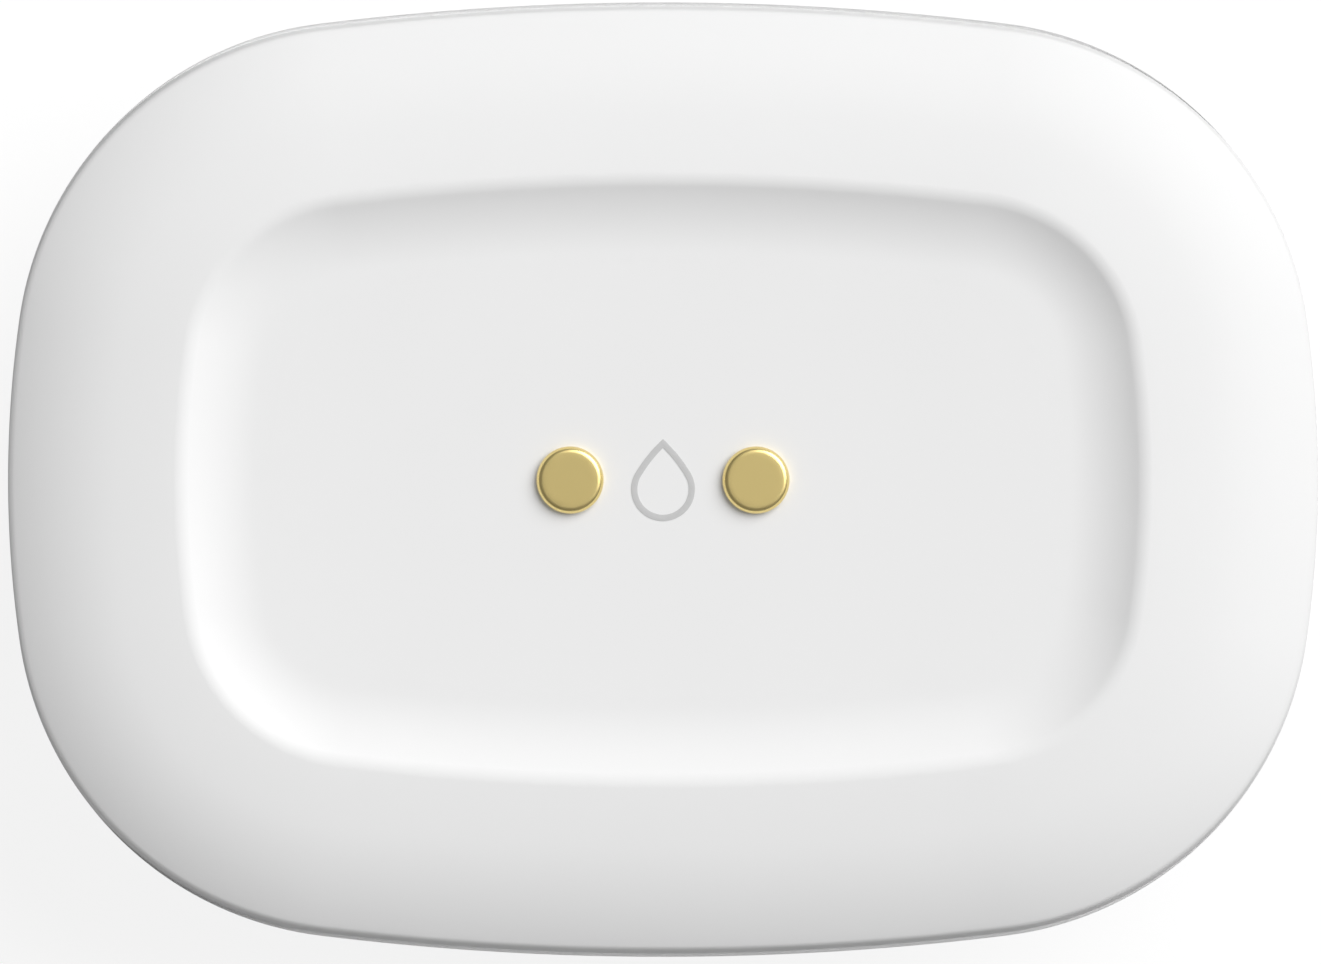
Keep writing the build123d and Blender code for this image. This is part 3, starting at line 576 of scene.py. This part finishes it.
@dataclass
class Outline:
    """The case seen from above: eight tangent arcs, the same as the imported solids'."""

    length: float
    width: float
    long_side_radius: float = 117.0
    short_side_radius: float = 48.0
    corner_radius: float = 14.5
    post_inset: float = 5.9
    post_turn: float = 25.0
    board_screw_inset: float = 5.4
    board_screw_room: float = 4.7

    def corner(self) -> Pair:
        """Works out the corner arc's centre, from which it touches both side arcs.

        Returns:
            The place of the centre on the right, by the upper long side.
        """
        short, corner, long = self.short_side_radius, self.corner_radius, self.long_side_radius
        short_x, long_y = self.length / 2 - short, self.width / 2 - long
        apart = math.hypot(short_x, long_y)
        along = (apart**2 + (long - corner) ** 2 - (short - corner) ** 2) / (2 * apart)
        off = math.sqrt((long - corner) ** 2 - along**2)
        x, down = along * short_x - off * long_y, off * short_x + along * long_y
        return x / apart, long_y - down / apart

    def posts(self) -> list[Pair]:
        """Gives the case screws' places, inside the middle of the corner arcs."""
        corner_x, corner_y = self.corner()
        reach = self.corner_radius - self.post_inset
        x = corner_x + reach * math.cos(math.radians(self.post_turn))
        y = corner_y + reach * math.sin(math.radians(self.post_turn))
        return [(x, y), (-x, y), (-x, -y), (x, -y)]

    def board_screws(self) -> list[Pair]:
        """Gives the board screws' places, one by a long side and one by each short side."""
        reach = self.short_side_radius - self.board_screw_inset
        y = self.posts()[0][1] - self.board_screw_room
        x = self.length / 2 - self.short_side_radius + math.sqrt(reach**2 - y**2)
        return [(x, y), (-x, y), (0.0, self.width / 2 - self.board_screw_inset)]

    def around(self, steps: int) -> tuple[np.ndarray, np.ndarray]:
        """Spaces points evenly round the outline, from the middle of the right side.

        Each point is its arc's centre plus the arc's radius times the outward direction.

        Args:
            steps: How many points to place.

        Returns:
            The points and their outward directions, one row each.
        """
        corner_x, corner_y = self.corner()
        short, corner, long = self.short_side_radius, self.corner_radius, self.long_side_radius
        short_x, long_y = self.length / 2 - short, self.width / 2 - long
        short_turn = math.atan2(corner_y, corner_x - short_x)
        long_turn = math.atan2(corner_y - long_y, corner_x)
        sweep = long_turn - short_turn
        arcs = np.array(
            [
                (short_x, 0, short, -short_turn, 2 * short_turn),
                (corner_x, corner_y, corner, short_turn, sweep),
                (0, long_y, long, long_turn, math.pi - 2 * long_turn),
                (-corner_x, corner_y, corner, math.pi - long_turn, sweep),
            ]
        )
        arcs = np.vstack([arcs, arcs * (-1, -1, 1, 1, 1) + (0, 0, 0, math.pi, 0)])
        lengths = arcs[:, 2] * arcs[:, 4]
        ends = np.cumsum(lengths)
        place = (np.arange(steps) / steps * ends[-1] + lengths[0] / 2) % ends[-1]
        which = np.minimum(np.searchsorted(ends, place, side="right"), len(arcs) - 1)
        arc = arcs[which]
        angle = arc[:, 3] + (place - (ends - lengths)[which]) / arc[:, 2]
        outward = np.stack([np.cos(angle), np.sin(angle)], axis=-1)
        return arc[:, :2] + arc[:, 2:3] * outward, outward

    def carried(self, short: np.ndarray, long: np.ndarray, steps: int) -> np.ndarray:
        """Carries a profile round the outline, which changes from the short sides to the long ones.

        The long sides' share of the profile is the square of the outward direction's part along Y.
        A point is the outline's point moved inwards by the profile's inset, at the profile's height.

        Args:
            short: Rows of inset and height at the middle of the short sides.
            long: As many rows at the middle of the long sides.
            steps: How many points go round.

        Returns:
            Rings of points, one ring for each row of the profile.
        """
        base, outward = self.around(steps)
        share = outward[:, 1][None, :, None] ** 2
        profile = short[:, None, :] * (1 - share) + long[:, None, :] * share
        flat = base[None] - profile[..., :1] * outward[None]
        return np.concatenate([flat, profile[..., 1:]], axis=-1)


@dataclass(kw_only=True)
class Assembly:
    """A sub-assembly, with the finishes that its pieces are dressed in."""

    finishes: Finishes = field(default_factory=dict)


@dataclass(frozen=True)
class Side:
    """A side of the cover: where the dish's floor ends, and the edge under the crown.

    The edge is a roll, a band that leans and a corner down to the upright, in so many steps each.
    """

    floor_inset: float
    roll: float
    slope: float
    lean: float
    corner: float
    steps: tuple[int, int, int] = (6, 3, 5)

    def width(self, start: float) -> float:
        """Gives the edge's width seen from above, from a slope in degrees to the upright.

        A roll's width is its radius times the change in the slope's sine.
        """
        first, last = math.sin(math.radians(start)), math.sin(math.radians(self.slope))
        return self.roll * (last - first) + self.lean + self.corner * (1 - last)

    def moves(self, start: float) -> Moves:
        """Lists the edge's arcs and run, from a slope in degrees down to the upright."""
        run = self.lean / math.cos(math.radians(self.slope))
        moves = (self.roll, start - self.slope), (run, 0.0), (self.corner, self.slope - 90.0)
        return [(*move, steps) for move, steps in zip(moves, self.steps)]


@dataclass
class Cover(Assembly):
    """The white moulding: a crowned rim round a shallow dish, with its lip, bosses and ribs."""

    outline: Outline
    dish_z: float
    board_top: float
    parting_z: float
    probe_x: float
    wall: float = 1.2
    dish_blend_radius: float = 6.1
    rim_roll_radius: float = 1.25
    rim_radius: float = 41.0
    short_side: Side = Side(floor_inset=10.4, roll=0.9, slope=46.0, lean=0.02, corner=0.2)
    long_side: Side = Side(floor_inset=10.54, roll=0.4, slope=76.0, lean=0.28, corner=0.3)
    edge_relief: float = 0.15
    dish_slope: float = 26.6
    rim_slope: float = 4.5
    crown_start_slope: float = 8.0
    crown_end_slope: float = 27.0
    lip_outer_inset: float = 1.525
    lip_inner_inset: float = 2.525
    lip_depth: float = 2.0
    hole_radius: float = 0.75
    hole_chamfer: float = 0.08
    pocket_radius: float = 1.25
    pocket_depth: float = 0.6
    probe_boss_radius: float = 2.2
    post_radius: float = 2.0
    post_low: float = 9.0
    post_ear: float = 1.2
    post_hole_radius: float = 1.0
    post_hole_top: float = 15.6
    board_boss_radius: float = 1.8
    board_hole_radius: float = 0.8
    board_hole_depth: float = 1.9
    boss_edge: float = 0.12
    rib_half: float = 0.4
    rib_gap: float = 0.3
    rib_draft: float = 0.08
    floor_shares: tuple[float, ...] = (0.0, 0.3, 0.6, 0.85, 1.0)
    skin_steps: int = 20
    lining_steps: int = 8
    upright_steps: int = 2
    relief_steps: int = 6
    steps_round: int = 480
    seam_steps: int = 40
    boss_steps: int = 40

    def arcs(self, inward: float, side: Side, detail: int) -> Moves:
        """Gives the skin's arcs from the dish's floor to the crown's end.

        The crown's radius fills what the other arcs and the edge leave of the run.

        Args:
            inward: How far inside the skin the arcs lie.
            side: The side that the section is through.
            detail: How many steps the longest arcs have.

        Returns:
            The arcs.
        """
        dish, rim, start, end = (
            math.sin(math.radians(slope))
            for slope in (self.dish_slope, self.rim_slope, self.crown_start_slope, self.crown_end_slope)
        )
        left = side.floor_inset - (self.dish_blend_radius + self.rim_roll_radius) * dish
        left -= self.rim_roll_radius * rim + self.rim_radius * (start - rim)
        crown = (left - side.width(self.crown_end_slope)) / (end - start)
        return [
            (self.dish_blend_radius + inward, self.dish_slope, detail),
            (self.rim_roll_radius - inward, -self.dish_slope - self.rim_slope, detail),
            (self.rim_radius - inward, self.rim_slope - self.crown_start_slope, detail // 2),
            (crown - inward, self.crown_start_slope - self.crown_end_slope, detail),
        ]

    def skin(self, side: Side) -> np.ndarray:
        """Lays out the outer section, from the dish's floor over the rim to the parting line.

        Args:
            side: The side that the section is through.

        Returns:
            Rows of inset and height.
        """
        moves = [*self.arcs(0.0, side, self.skin_steps), *side.moves(self.crown_end_slope)]
        over = arc_profile((side.floor_inset, self.dish_z), 0.0, moves)
        upright = over[-1, 1] - self.edge_relief - self.parting_z
        moves = [(upright, 0.0, self.upright_steps), (self.edge_relief, -90.0, self.relief_steps)]
        down = arc_profile(tuple(over[-1]), -90.0, moves)
        return np.vstack([over, down[1:]])

    def lining(self, side: Side) -> np.ndarray:
        """Lays out the inner section, from the parting line round the lip to the floor's underside.

        Args:
            side: The side that the section is through.

        Returns:
            Rows of inset and height.
        """
        start = (side.floor_inset, self.dish_z - self.wall)
        under = arc_profile(start, 0.0, self.arcs(self.wall, side, self.lining_steps))
        outer, inner = self.lip_outer_inset, self.lip_inner_inset
        high, low = self.parting_z, self.parting_z - self.lip_depth
        ceiling = np.interp(-inner, -under[:, 0], under[:, 1])
        lip = [(outer, high), (outer, low), (inner, low), (inner, ceiling)]
        return np.vstack([lip, under[under[:, 0] > inner][::-1]])

    def hole_rows(self) -> list[tuple[float, float, float]]:
        """Lays out a probe's hole and boss, from the dish's floor down and up to its underside.

        Returns:
            Rows of share of the way in, radius and height.
        """
        top, low = self.dish_z, self.board_top
        pocket_top = low + self.pocket_depth
        hole, pocket, boss = self.hole_radius, self.pocket_radius, self.probe_boss_radius
        edge = (
            (hole + self.hole_chamfer, top),
            (hole, top - self.hole_chamfer),
            (hole, pocket_top),
            (pocket, pocket_top),
            (pocket, low),
            (boss - self.boss_edge, low),
            (boss, low + self.boss_edge),
        )
        return [
            *((share, boss, top) for share in self.floor_shares),
            *((1.0, *corner) for corner in edge),
            *((share, boss, top - self.wall) for share in self.floor_shares[::-1]),
        ]

    def floor_half(self, rim: np.ndarray, side: int) -> Surface:
        """Closes half of the dish's floor, above and below, round its probe's hole and boss.

        The half's loop is half of the floor's rim and a straight seam on the middle line. Each row
        moves the loop a share of the way to a circle round the hole, on which a point keeps its
        bearing from the hole's axis.

        Args:
            rim: The floor's rim as rows of place, from the right side round.
            side: One for the right half and minus one for the left.

        Returns:
            The vertices and the quads.
        """
        quarter = self.steps_round // 4
        span = (np.arange(2 * quarter + 1) - side * quarter) % self.steps_round
        edge = rim[span, :2]
        share = np.linspace(0.0, 1.0, self.seam_steps + 1)[1:-1, None]
        loop = np.vstack([edge, edge[-1] + (edge[0] - edge[-1]) * share])
        centre = np.array([side * self.probe_x, 0.0])
        bearing = (loop - centre) / np.linalg.norm(loop - centre, axis=1)[:, None]
        rows = []
        for way, radius, level in self.hole_rows():
            flat = loop + (centre + radius * bearing - loop) * way
            rows.append(np.column_stack([flat, np.full(len(loop), level)]))
        return sheet(np.stack(rows))

    def shell(self) -> Surface:
        """Works out the cover's skin, lip and lining, with the floor's two halves inside them.

        Returns:
            The vertices and the quads.
        """
        sides = (self.short_side, self.long_side)
        short, long = (np.vstack([self.skin(side), self.lining(side)]) for side in sides)
        rings = self.outline.carried(short, long, self.steps_round)
        points, faces = sheet(rings)
        halves = [self.floor_half(rings[0], side) for side in (1, -1)]
        return welded([(points, faces[:, ::-1]), *halves])

    def boss(self, place: Pair, radius: float, low: float, top: float, hole: Pair) -> Surface:
        """Turns a boss that hangs from the ceiling, with a blind hole up its middle.

        Args:
            place: The boss's axis.
            radius: Its radius.
            low: The height of its lower end.
            top: The height at which it ends inside the wall.
            hole: The hole's radius and the height of its end.

        Returns:
            The vertices and the quads.
        """
        rim = (radius, low + self.boss_edge), (radius - self.boss_edge, low)
        profile = np.array([(radius, top), *rim, (hole[0], low), hole])
        return turned(profile, Vector((*place, 0.0)), Axis.UP, self.boss_steps)

    def rib(self, x: float, near: float, far: float, top: float) -> Surface:
        """Makes a rib that narrows downwards by its draft.

        Args:
            x: Its place across.
            near: The place of one end.
            far: The place of the other end.
            top: The height at which it ends inside the wall.

        Returns:
            The vertices and the quads.
        """
        half, draft, low = self.rib_half, self.rib_draft, self.board_top + self.rib_gap
        middle, reach = (near + far) / 2, abs(far - near) / 2
        levels = (
            (half, reach, top),
            (half - draft / 2, reach, low + draft),
            (half - draft, reach - draft, low),
        )
        rings = [
            [(x + half_x * sx, middle + half_y * sy, level) for sx, sy in CORNER_SIGNS]
            for half_x, half_y, level in levels
        ]
        return closed(np.array(rings))

    def inside(self) -> list[Surface]:
        """Works out the posts, the board's bosses and the ribs, which end inside the wall.

        Returns:
            The vertices and the quads of each.
        """
        crown = self.skin(self.long_side)
        crown = crown[crown[:, 0] > self.lip_outer_inset]

        def level(inset: float) -> float:
            """Gives the height of the middle of the wall under the skin at an inset."""
            return float(np.interp(-inset, -crown[:, 0], crown[:, 1])) - self.wall / 2

        made = []
        top, hole = level(self.outline.post_inset), (self.post_hole_radius, self.post_hole_top)
        for x, y in self.outline.posts():
            low = self.post_low + (self.post_ear if y < 0 else 0.0)
            made.append(self.boss((x, y), self.post_radius, low, top, hole))
        top = level(self.outline.board_screw_inset)
        hole = (self.board_hole_radius, self.board_top + self.board_hole_depth)
        for place in self.outline.board_screws():
            made.append(self.boss(place, self.board_boss_radius, self.board_top, top, hole))
        blend = self.dish_blend_radius + self.rim_roll_radius
        inner = self.long_side.floor_inset - blend * math.sin(math.radians(self.dish_slope))
        outer = self.lip_inner_inset - self.rib_half
        half, middle = self.outline.width / 2, self.outline.corner()[0] / 2
        for x in (-middle, middle):
            for side in (-1, 1):
                ends = side * (half - inner), side * (half - outer)
                made.append(self.rib(x, *ends, level(inner) - self.wall / 2))
        return made

    def build(self) -> None:
        """Builds the moulding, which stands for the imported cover."""
        role = Role("cover_moulding", Body.CASE, "cover_white", "top_cover")
        role.place(gathered([self.shell(), *self.inside()]), self.finishes[role.slot])


@dataclass
class Probes(Assembly):
    """The four gold-plated probes, two in the dish and two under the case."""

    head_radius: float = 1.41
    proud: float = 0.45
    edge_round: float = 0.27
    edge_steps: int = 14
    face_shares: tuple[float, ...] = (0.15, 0.5, 0.85)
    foot_chamfer: float = 0.02
    shank_radius: float = 0.7
    shank_chamfer: float = 0.15
    steps_round: int = 128

    def names(self) -> list[tuple[str, Axis]]:
        """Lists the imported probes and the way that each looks."""
        levels = (("upper", Axis.UP), ("lower", Axis.DOWN))
        return [(f"{level}_probe_{side}", axis) for level, axis in levels for side in ("left", "right")]

    def centres(self) -> tuple[Pair, ...]:
        """Gives the probes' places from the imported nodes."""
        boxes = [node_box(name) for name, _ in self.names()]
        return tuple(((low.x + high.x) / 2, (low.y + high.y) / 2) for low, high in boxes)

    def profile(self, reach: float) -> np.ndarray:
        """Lays out a probe's section from the middle of its face to the end of its shank.

        Args:
            reach: How far the shank goes below the head.

        Returns:
            Rows of radius and height above the surface that the head sits on.
        """
        edge = np.radians(np.linspace(90.0, 0.0, self.edge_steps))
        flat, low = self.head_radius - self.edge_round, self.proud - self.edge_round
        face = np.array([(flat * share, self.proud) for share in self.face_shares])
        rolled = np.column_stack([np.cos(edge), np.sin(edge)]) * self.edge_round + (flat, low)
        head, shank = self.head_radius, self.shank_radius
        below = [
            (head, self.foot_chamfer),
            (head - self.foot_chamfer, 0.0),
            (shank, 0.0),
            (shank, self.shank_chamfer - reach),
            (shank - self.shank_chamfer, -reach),
        ]
        return np.vstack([face, rolled, below])

    def build(self) -> None:
        """Builds the four probes in their packed places."""
        for (node, axis), (x, y) in zip(self.names(), self.centres()):
            low, high = node_box(node)
            seat = high.z - self.proud if axis is Axis.UP else low.z + self.proud
            section = self.profile(high.z - low.z - self.proud)
            surface = turned(section, Vector((x, y, seat)), axis, self.steps_round)
            role = Role(f"{node}_pin", Body.CASE, "gold", node)
            role.place(surface, self.finishes[role.slot])


@dataclass
class DropSign(Assembly):
    """The water-drop outline printed in the dish: a plain sign in grey ink."""

    dish_z: float
    bulb_radius: float = 1.34
    bulb_depth: float = 2.1
    flank_radius: float = 6.5
    line: float = 0.27
    ink_height: float = 0.012
    ink_shoulder: float = 0.008
    ink_depth: float = 0.02
    ink_edge: float = 0.12
    bulb_steps: int = 64
    flank_steps: int = 24

    def drop(self, inset: float) -> np.ndarray:
        """Works out the drop's curve, moved inwards by an inset.

        The bulb is a circle under the tip, and a flank is an arc that touches it inside and ends at
        the tip. The sine of the turn at which they touch follows from the tip's distance from the
        flank's centre, which is the flank's radius.

        Args:
            inset: How far inside the sign's edge the curve lies.

        Returns:
            Rows of place, once round.
        """
        bulb, flank, depth = self.bulb_radius, self.flank_radius, self.bulb_depth
        between = bulb - flank
        touch = math.asin((between**2 + depth**2 - flank**2) / (2 * depth * between))
        centre = np.array([between * math.cos(touch), between * math.sin(touch) - depth])
        end = math.acos(-centre[0] / (flank - inset))
        low = np.linspace(-math.pi / 2, touch, self.bulb_steps)
        high = np.linspace(touch, end, self.flank_steps)[1:]
        circle = np.stack([np.cos(low), np.sin(low)], axis=-1) * (bulb - inset) - (0.0, depth)
        side = np.stack([np.cos(high), np.sin(high)], axis=-1) * (flank - inset) + centre
        right = np.vstack([circle, side])
        left = right[-2:0:-1] * (-1.0, 1.0)
        return np.vstack([right, left]) + (0.0, (depth + bulb) / 2)

    def build(self) -> None:
        """Builds the print: a low band between the outer and the inner drop."""
        outer, inner = self.drop(0.0), self.drop(self.line)
        half = ((0.0, -self.ink_depth), (0.0, self.ink_shoulder), (self.ink_edge, self.ink_height))
        section = [*half, *((1 - share, level) for share, level in half[::-1])]
        rings = []
        for share, level in section:
            flat = outer * (1 - share) + inner * share
            rings.append(np.column_stack([flat, np.full(len(outer), self.dish_z + level)]))
        role = Role("drop_sign", Body.CASE, "cover_white")
        role.place(closed(np.stack(rings), Ends.LOOPED), self.finishes["ink"])


@dataclass
class CellSleeve(Assembly):
    """The cell's shrunk sleeve, curled over both shoulders of the can."""

    shoulder: float = 0.8
    thickness: float = 0.1
    clearance: float = 0.01
    nub_height: float = 1.2
    curl: float = 55.0
    curl_steps: int = 10
    steps_round: int = 128

    def build(self) -> None:
        """Builds the sleeve, a thin wall turned about the cell's axis.

        At each end the wall turns round the can's shoulder: its radius is the shoulder's centre plus
        the bend times the cosine of the turn, and it goes on by the bend times the sine.
        """
        can_low, can_high = node_box("cell_can")
        low, high = node_box("cell_sleeve")
        left, right = can_low.x + self.shoulder, can_high.x - self.nub_height - self.shoulder
        core = (high.z - low.z) / 2 - self.shoulder - self.thickness
        turn = np.radians(np.linspace(self.curl, 0.0, self.curl_steps))
        sides = []
        for bend in (self.shoulder + self.thickness, self.shoulder + self.clearance):
            away, along = core + bend * np.cos(turn), bend * np.sin(turn)
            ends = [np.column_stack([away, left - along]), np.column_stack([away, right + along])[::-1]]
            sides.append(np.vstack(ends))
        section = np.vstack([sides[0], sides[1][::-1]])
        middle = Vector((0.0, (low.y + high.y) / 2, (low.z + high.z) / 2))
        role = Role("cell_wrap", Body.CELL, "sleeve_grey", "cell_sleeve")
        surface = turned(section, middle, Axis.ALONG, self.steps_round, Ends.LOOPED)
        role.place(surface, self.finishes[role.slot])


@dataclass
class PackedPieces(Assembly):
    """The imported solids, which keep their shapes and get a finish each."""

    slots: dict[str, str]

    def build(self) -> None:
        """Puts each node's finish into its slots."""
        for name, node in frame["nodes"].items():
            finish = self.finishes[self.slots[name]]
            for slot in node.material_slots:
                slot.material = finish
            if not node.material_slots:
                node.data.materials.append(finish)
            log.info("%s dressed as %s", name, finish.name)


@dataclass(frozen=True)
class Lamp:
    """A broad, distant lamp.

    The azimuth goes from +X towards +Y and the elevation up from the horizon. They and the spread are
    in degrees. The strength is the level that the lamp gives a white surface square to it.
    """

    name: str
    azimuth: float
    elevation: float
    strength: float
    spread: float

    def build(self) -> bpy.types.Object:
        """Builds the lamp.

        Returns:
            The new lamp.
        """
        data = bpy.data.lights.new(self.name, "SUN")
        data.energy = self.strength * math.pi
        data.angle = math.radians(self.spread)
        lamp = stand(self.name, data)
        around, up = math.radians(self.azimuth), math.radians(self.elevation)
        flat = math.cos(up)
        towards = Vector((flat * math.cos(around), flat * math.sin(around), math.sin(up)))
        lamp.rotation_euler = towards.to_track_quat("Z", "Y").to_euler()
        return lamp


@dataclass
class Studio:
    """The floor, the lamps and the camera of the portrait."""

    image_width: int = 1321
    pixels_per_mm: float = 23.82
    camera_distance: float = 420.0
    camera_tilt: float = -0.4
    camera_clip: Pair = (0.01, 50.0)
    look_at: Colour = (-0.105, -0.091, 18.5)
    sensor_width: float = 36.0
    key: Lamp = Lamp("key", azimuth=41.0, elevation=46.0, strength=0.95, spread=55.0)
    under: Lamp = Lamp("under", azimuth=200.0, elevation=-84.0, strength=0.5, spread=80.0)
    sky_strength: float = 0.32
    overhead_level: float = 0.15
    white_below: float = 0.05
    dim_above: float = 0.45
    floor_reach: float = 4000.0
    floor_z: float = -0.02
    floor_colour: float = 0.18
    floor_glow: float = 0.83

    def camera(self) -> None:
        """Sets the camera above, tipped a little towards a long side."""
        data = bpy.data.cameras.new("camera")
        data.sensor_width = self.sensor_width
        data.lens = self.sensor_width * self.camera_distance * self.pixels_per_mm / self.image_width
        data.clip_start, data.clip_end = self.camera_clip
        eye = stand("camera", data)
        tilt = math.radians(self.camera_tilt)
        offset = Vector((0.0, -math.sin(tilt), math.cos(tilt))) * self.camera_distance
        eye.location = (Vector(self.look_at) + offset) * MM
        eye.rotation_euler = (tilt, 0.0, 0.0)
        bpy.context.scene.camera = eye

    def sky(self) -> None:
        """Sets an even sky, white where the camera sees it.

        Gloss and clear pieces see it white along the horizon and dim overhead, by the height of the
        direction that they look in.
        """
        world = bpy.data.worlds.new("sky")
        bpy.context.scene.world = world
        nodes = Nodes(world)
        direction = nodes.add("ShaderNodeTexCoord").outputs["Generated"]
        height = nodes.add("ShaderNodeSeparateXYZ", {"Vector": direction}).outputs["Z"]
        between = {"From Min": self.white_below, "From Max": self.dim_above}
        levels = {"To Min": 1.0, "To Max": self.overhead_level}
        mirrored = nodes.add("ShaderNodeMapRange", {"Value": height, **between, **levels})
        camera_ray = nodes.add("ShaderNodeLightPath").outputs["Is Camera Ray"]
        level = nodes.mix(nodes.seen(), self.sky_strength, nodes.mix(camera_ray, mirrored, 1.0))
        fill = nodes.add("ShaderNodeBackground", {"Color": (1.0, 1.0, 1.0, 1.0), "Strength": level})
        nodes.add("ShaderNodeOutputWorld", {"Surface": fill})

    def floor(self) -> bpy.types.Object:
        """Lays a floor under the feet, white to the eye, that keeps the shadow.

        From below it is clear, so the underside can be seen.

        Returns:
            The floor.
        """
        reach, level = self.floor_reach * MM, self.floor_z * MM
        mesh = bpy.data.meshes.new("floor")
        mesh.from_pydata([(reach * x, reach * y, level) for x, y in CORNER_SIGNS], [], [(0, 1, 2, 3)])
        piece = stand("floor", mesh)
        material = bpy.data.materials.new("floor")
        nodes = Nodes(material)
        paint = nodes.add("ShaderNodeBsdfDiffuse", {"Color": (*(self.floor_colour,) * 3, 1.0)})
        strength = nodes.combine("MULTIPLY", nodes.seen(), self.floor_glow)
        glow = nodes.add("ShaderNodeEmission", {"Strength": strength})
        both = nodes.add("ShaderNodeAddShader", {0: paint, 1: glow})
        clear = nodes.add("ShaderNodeBsdfTransparent")
        back = nodes.add("ShaderNodeNewGeometry").outputs["Backfacing"]
        mix = nodes.add("ShaderNodeMixShader", {"Fac": back, 1: both, 2: clear})
        nodes.add("ShaderNodeOutputMaterial", {"Surface": mix})
        mesh.materials.append(material)
        return piece

    def left_out(self, name: str, piece: bpy.types.Object) -> bpy.types.Collection:
        """Leaves a piece out of what a lamp shines on or is shaded by.

        Args:
            name: The collection's name.
            piece: The piece.

        Returns:
            A collection for the lamp's light linking.
        """
        group = bpy.data.collections.new(name)
        group.objects.link(piece)
        group.collection_objects[0].light_linking.link_state = "EXCLUDE"
        return group

    def build(self) -> None:
        """Builds the whole stage; the lamp under the floor shines through it and past the cover."""
        bpy.context.scene.view_settings.view_transform = "Standard"
        self.camera()
        self.sky()
        self.key.build()
        linking = self.under.build().light_linking
        linking.blocker_collection = self.left_out("under_lamp_passes", self.floor())
        cover = bpy.data.objects["cover_moulding"]
        linking.receiver_collection = self.left_out("under_lamp_misses", cover)
        log.info("stage set with the camera %.0f mm above", self.camera_distance)


def slot_finishes() -> Finishes:
    """Makes one finish for each of the record's material slots, and the sign's ink.

    Returns:
        The materials by their slots.
    """
    rough = {"grain": Noise(9.0, detail=3.0, roughness=0.6), "grain_depth": 0.003}
    can = {"roughness": 0.2, "gloss_spread": 0.06, "stretch": (7.0, 1.0, 1.0)}
    tin = {"roughness": 0.34, "gloss_spread": 0.102}
    finishes = {
        "cover_white": MouldedPlastic("cover_plastic", (0.82, 0.82, 0.82), sheen_level=0.1),
        "base_white": MouldedPlastic("base_plastic", (0.81, 0.81, 0.81), **rough),
        "door_white": MouldedPlastic("door_plastic", (0.81, 0.81, 0.81), **rough),
        "silicone": SoftRubber("pale_silicone", (0.7, 0.7, 0.68), roughness=0.5, drift=0.04),
        "foot_rubber": SoftRubber("foot_elastomer", (0.36, 0.36, 0.37)),
        "screw_steel": PlatedMetal("plated_screw", (0.6, 0.6, 0.62), stretch=(1.0, 1.0, 6.0)),
        "board_green": BoardMask("solder_mask"),
        "gold": ProbeGold("probe_gold", centres=Probes().centres()),
        "nut_brass": PlatedMetal("turned_brass", (0.71, 0.52, 0.24), stretch=(1.0, 1.0, 8.0)),
        "ring_rubber": SoftRubber("black_rubber", (0.02, 0.02, 0.021), roughness=0.55),
        "holder_black": MouldedPlastic(
            "holder_plastic", (0.028, 0.028, 0.03), drift=0.1, roughness=0.5
        ),
        "spring_steel": PlatedMetal("nickel_strip", (0.66, 0.64, 0.59), stretch=(1.0, 8.0, 1.0)),
        "can_steel": PlatedMetal("drawn_can", (0.6, 0.6, 0.61), **can),
        "sleeve_grey": MouldedPlastic("shrink_film", (0.16, 0.18, 0.21), roughness=0.22, drift=0.05),
        "washer_white": PressedFibre("washer_fibre", (0.78, 0.77, 0.73)),
        "button_grey": MouldedPlastic("button_plastic", (0.3, 0.31, 0.33), drift=0.03),
        "switch_black": MouldedPlastic("switch_plastic", (0.022, 0.022, 0.023), drift=0.1),
        "shield_tin": PlatedMetal("tinned_sheet", (0.74, 0.74, 0.73), **tin),
        "chip_black": MouldedPlastic("chip_epoxy", (0.018, 0.018, 0.02), roughness=0.55, drift=0.12),
        "ceramic_tan": MouldedPlastic("fired_ceramic", (0.34, 0.22, 0.12), roughness=0.45, drift=0.1),
        "light_lens": ClearResin("lens_resin", (0.86, 0.88, 0.8)),
        "ink": PrintedInk("grey_ink"),
    }
    return {slot: finish.material() for slot, finish in finishes.items()}


def main() -> None:
    """Builds the pieces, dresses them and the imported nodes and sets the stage."""
    finishes = slot_finishes()
    low, high = node_box("top_cover")
    probe_low, probe_high = node_box("upper_probe_right")
    dish_z = probe_high.z - Probes.proud
    cover = Cover(
        Outline(length=high.x - low.x, width=high.y - low.y),
        dish_z=dish_z - FACET_ROOM,
        board_top=node_box("circuit_board")[1].z,
        parting_z=node_box("base_case")[1].z,
        probe_x=(probe_low.x + probe_high.x) / 2,
        finishes=finishes,
    )
    slots = {part["node"]: part["material_slot"] for part in frame["record"]["subparts"]}
    packed = PackedPieces(slots, finishes=finishes)
    sign = DropSign(dish_z, finishes=finishes)
    for assembly in (packed, cover, Probes(finishes=finishes), sign, CellSleeve(finishes=finishes)):
        assembly.build()
    Studio().build()


if __name__ == "__main__":
    main()
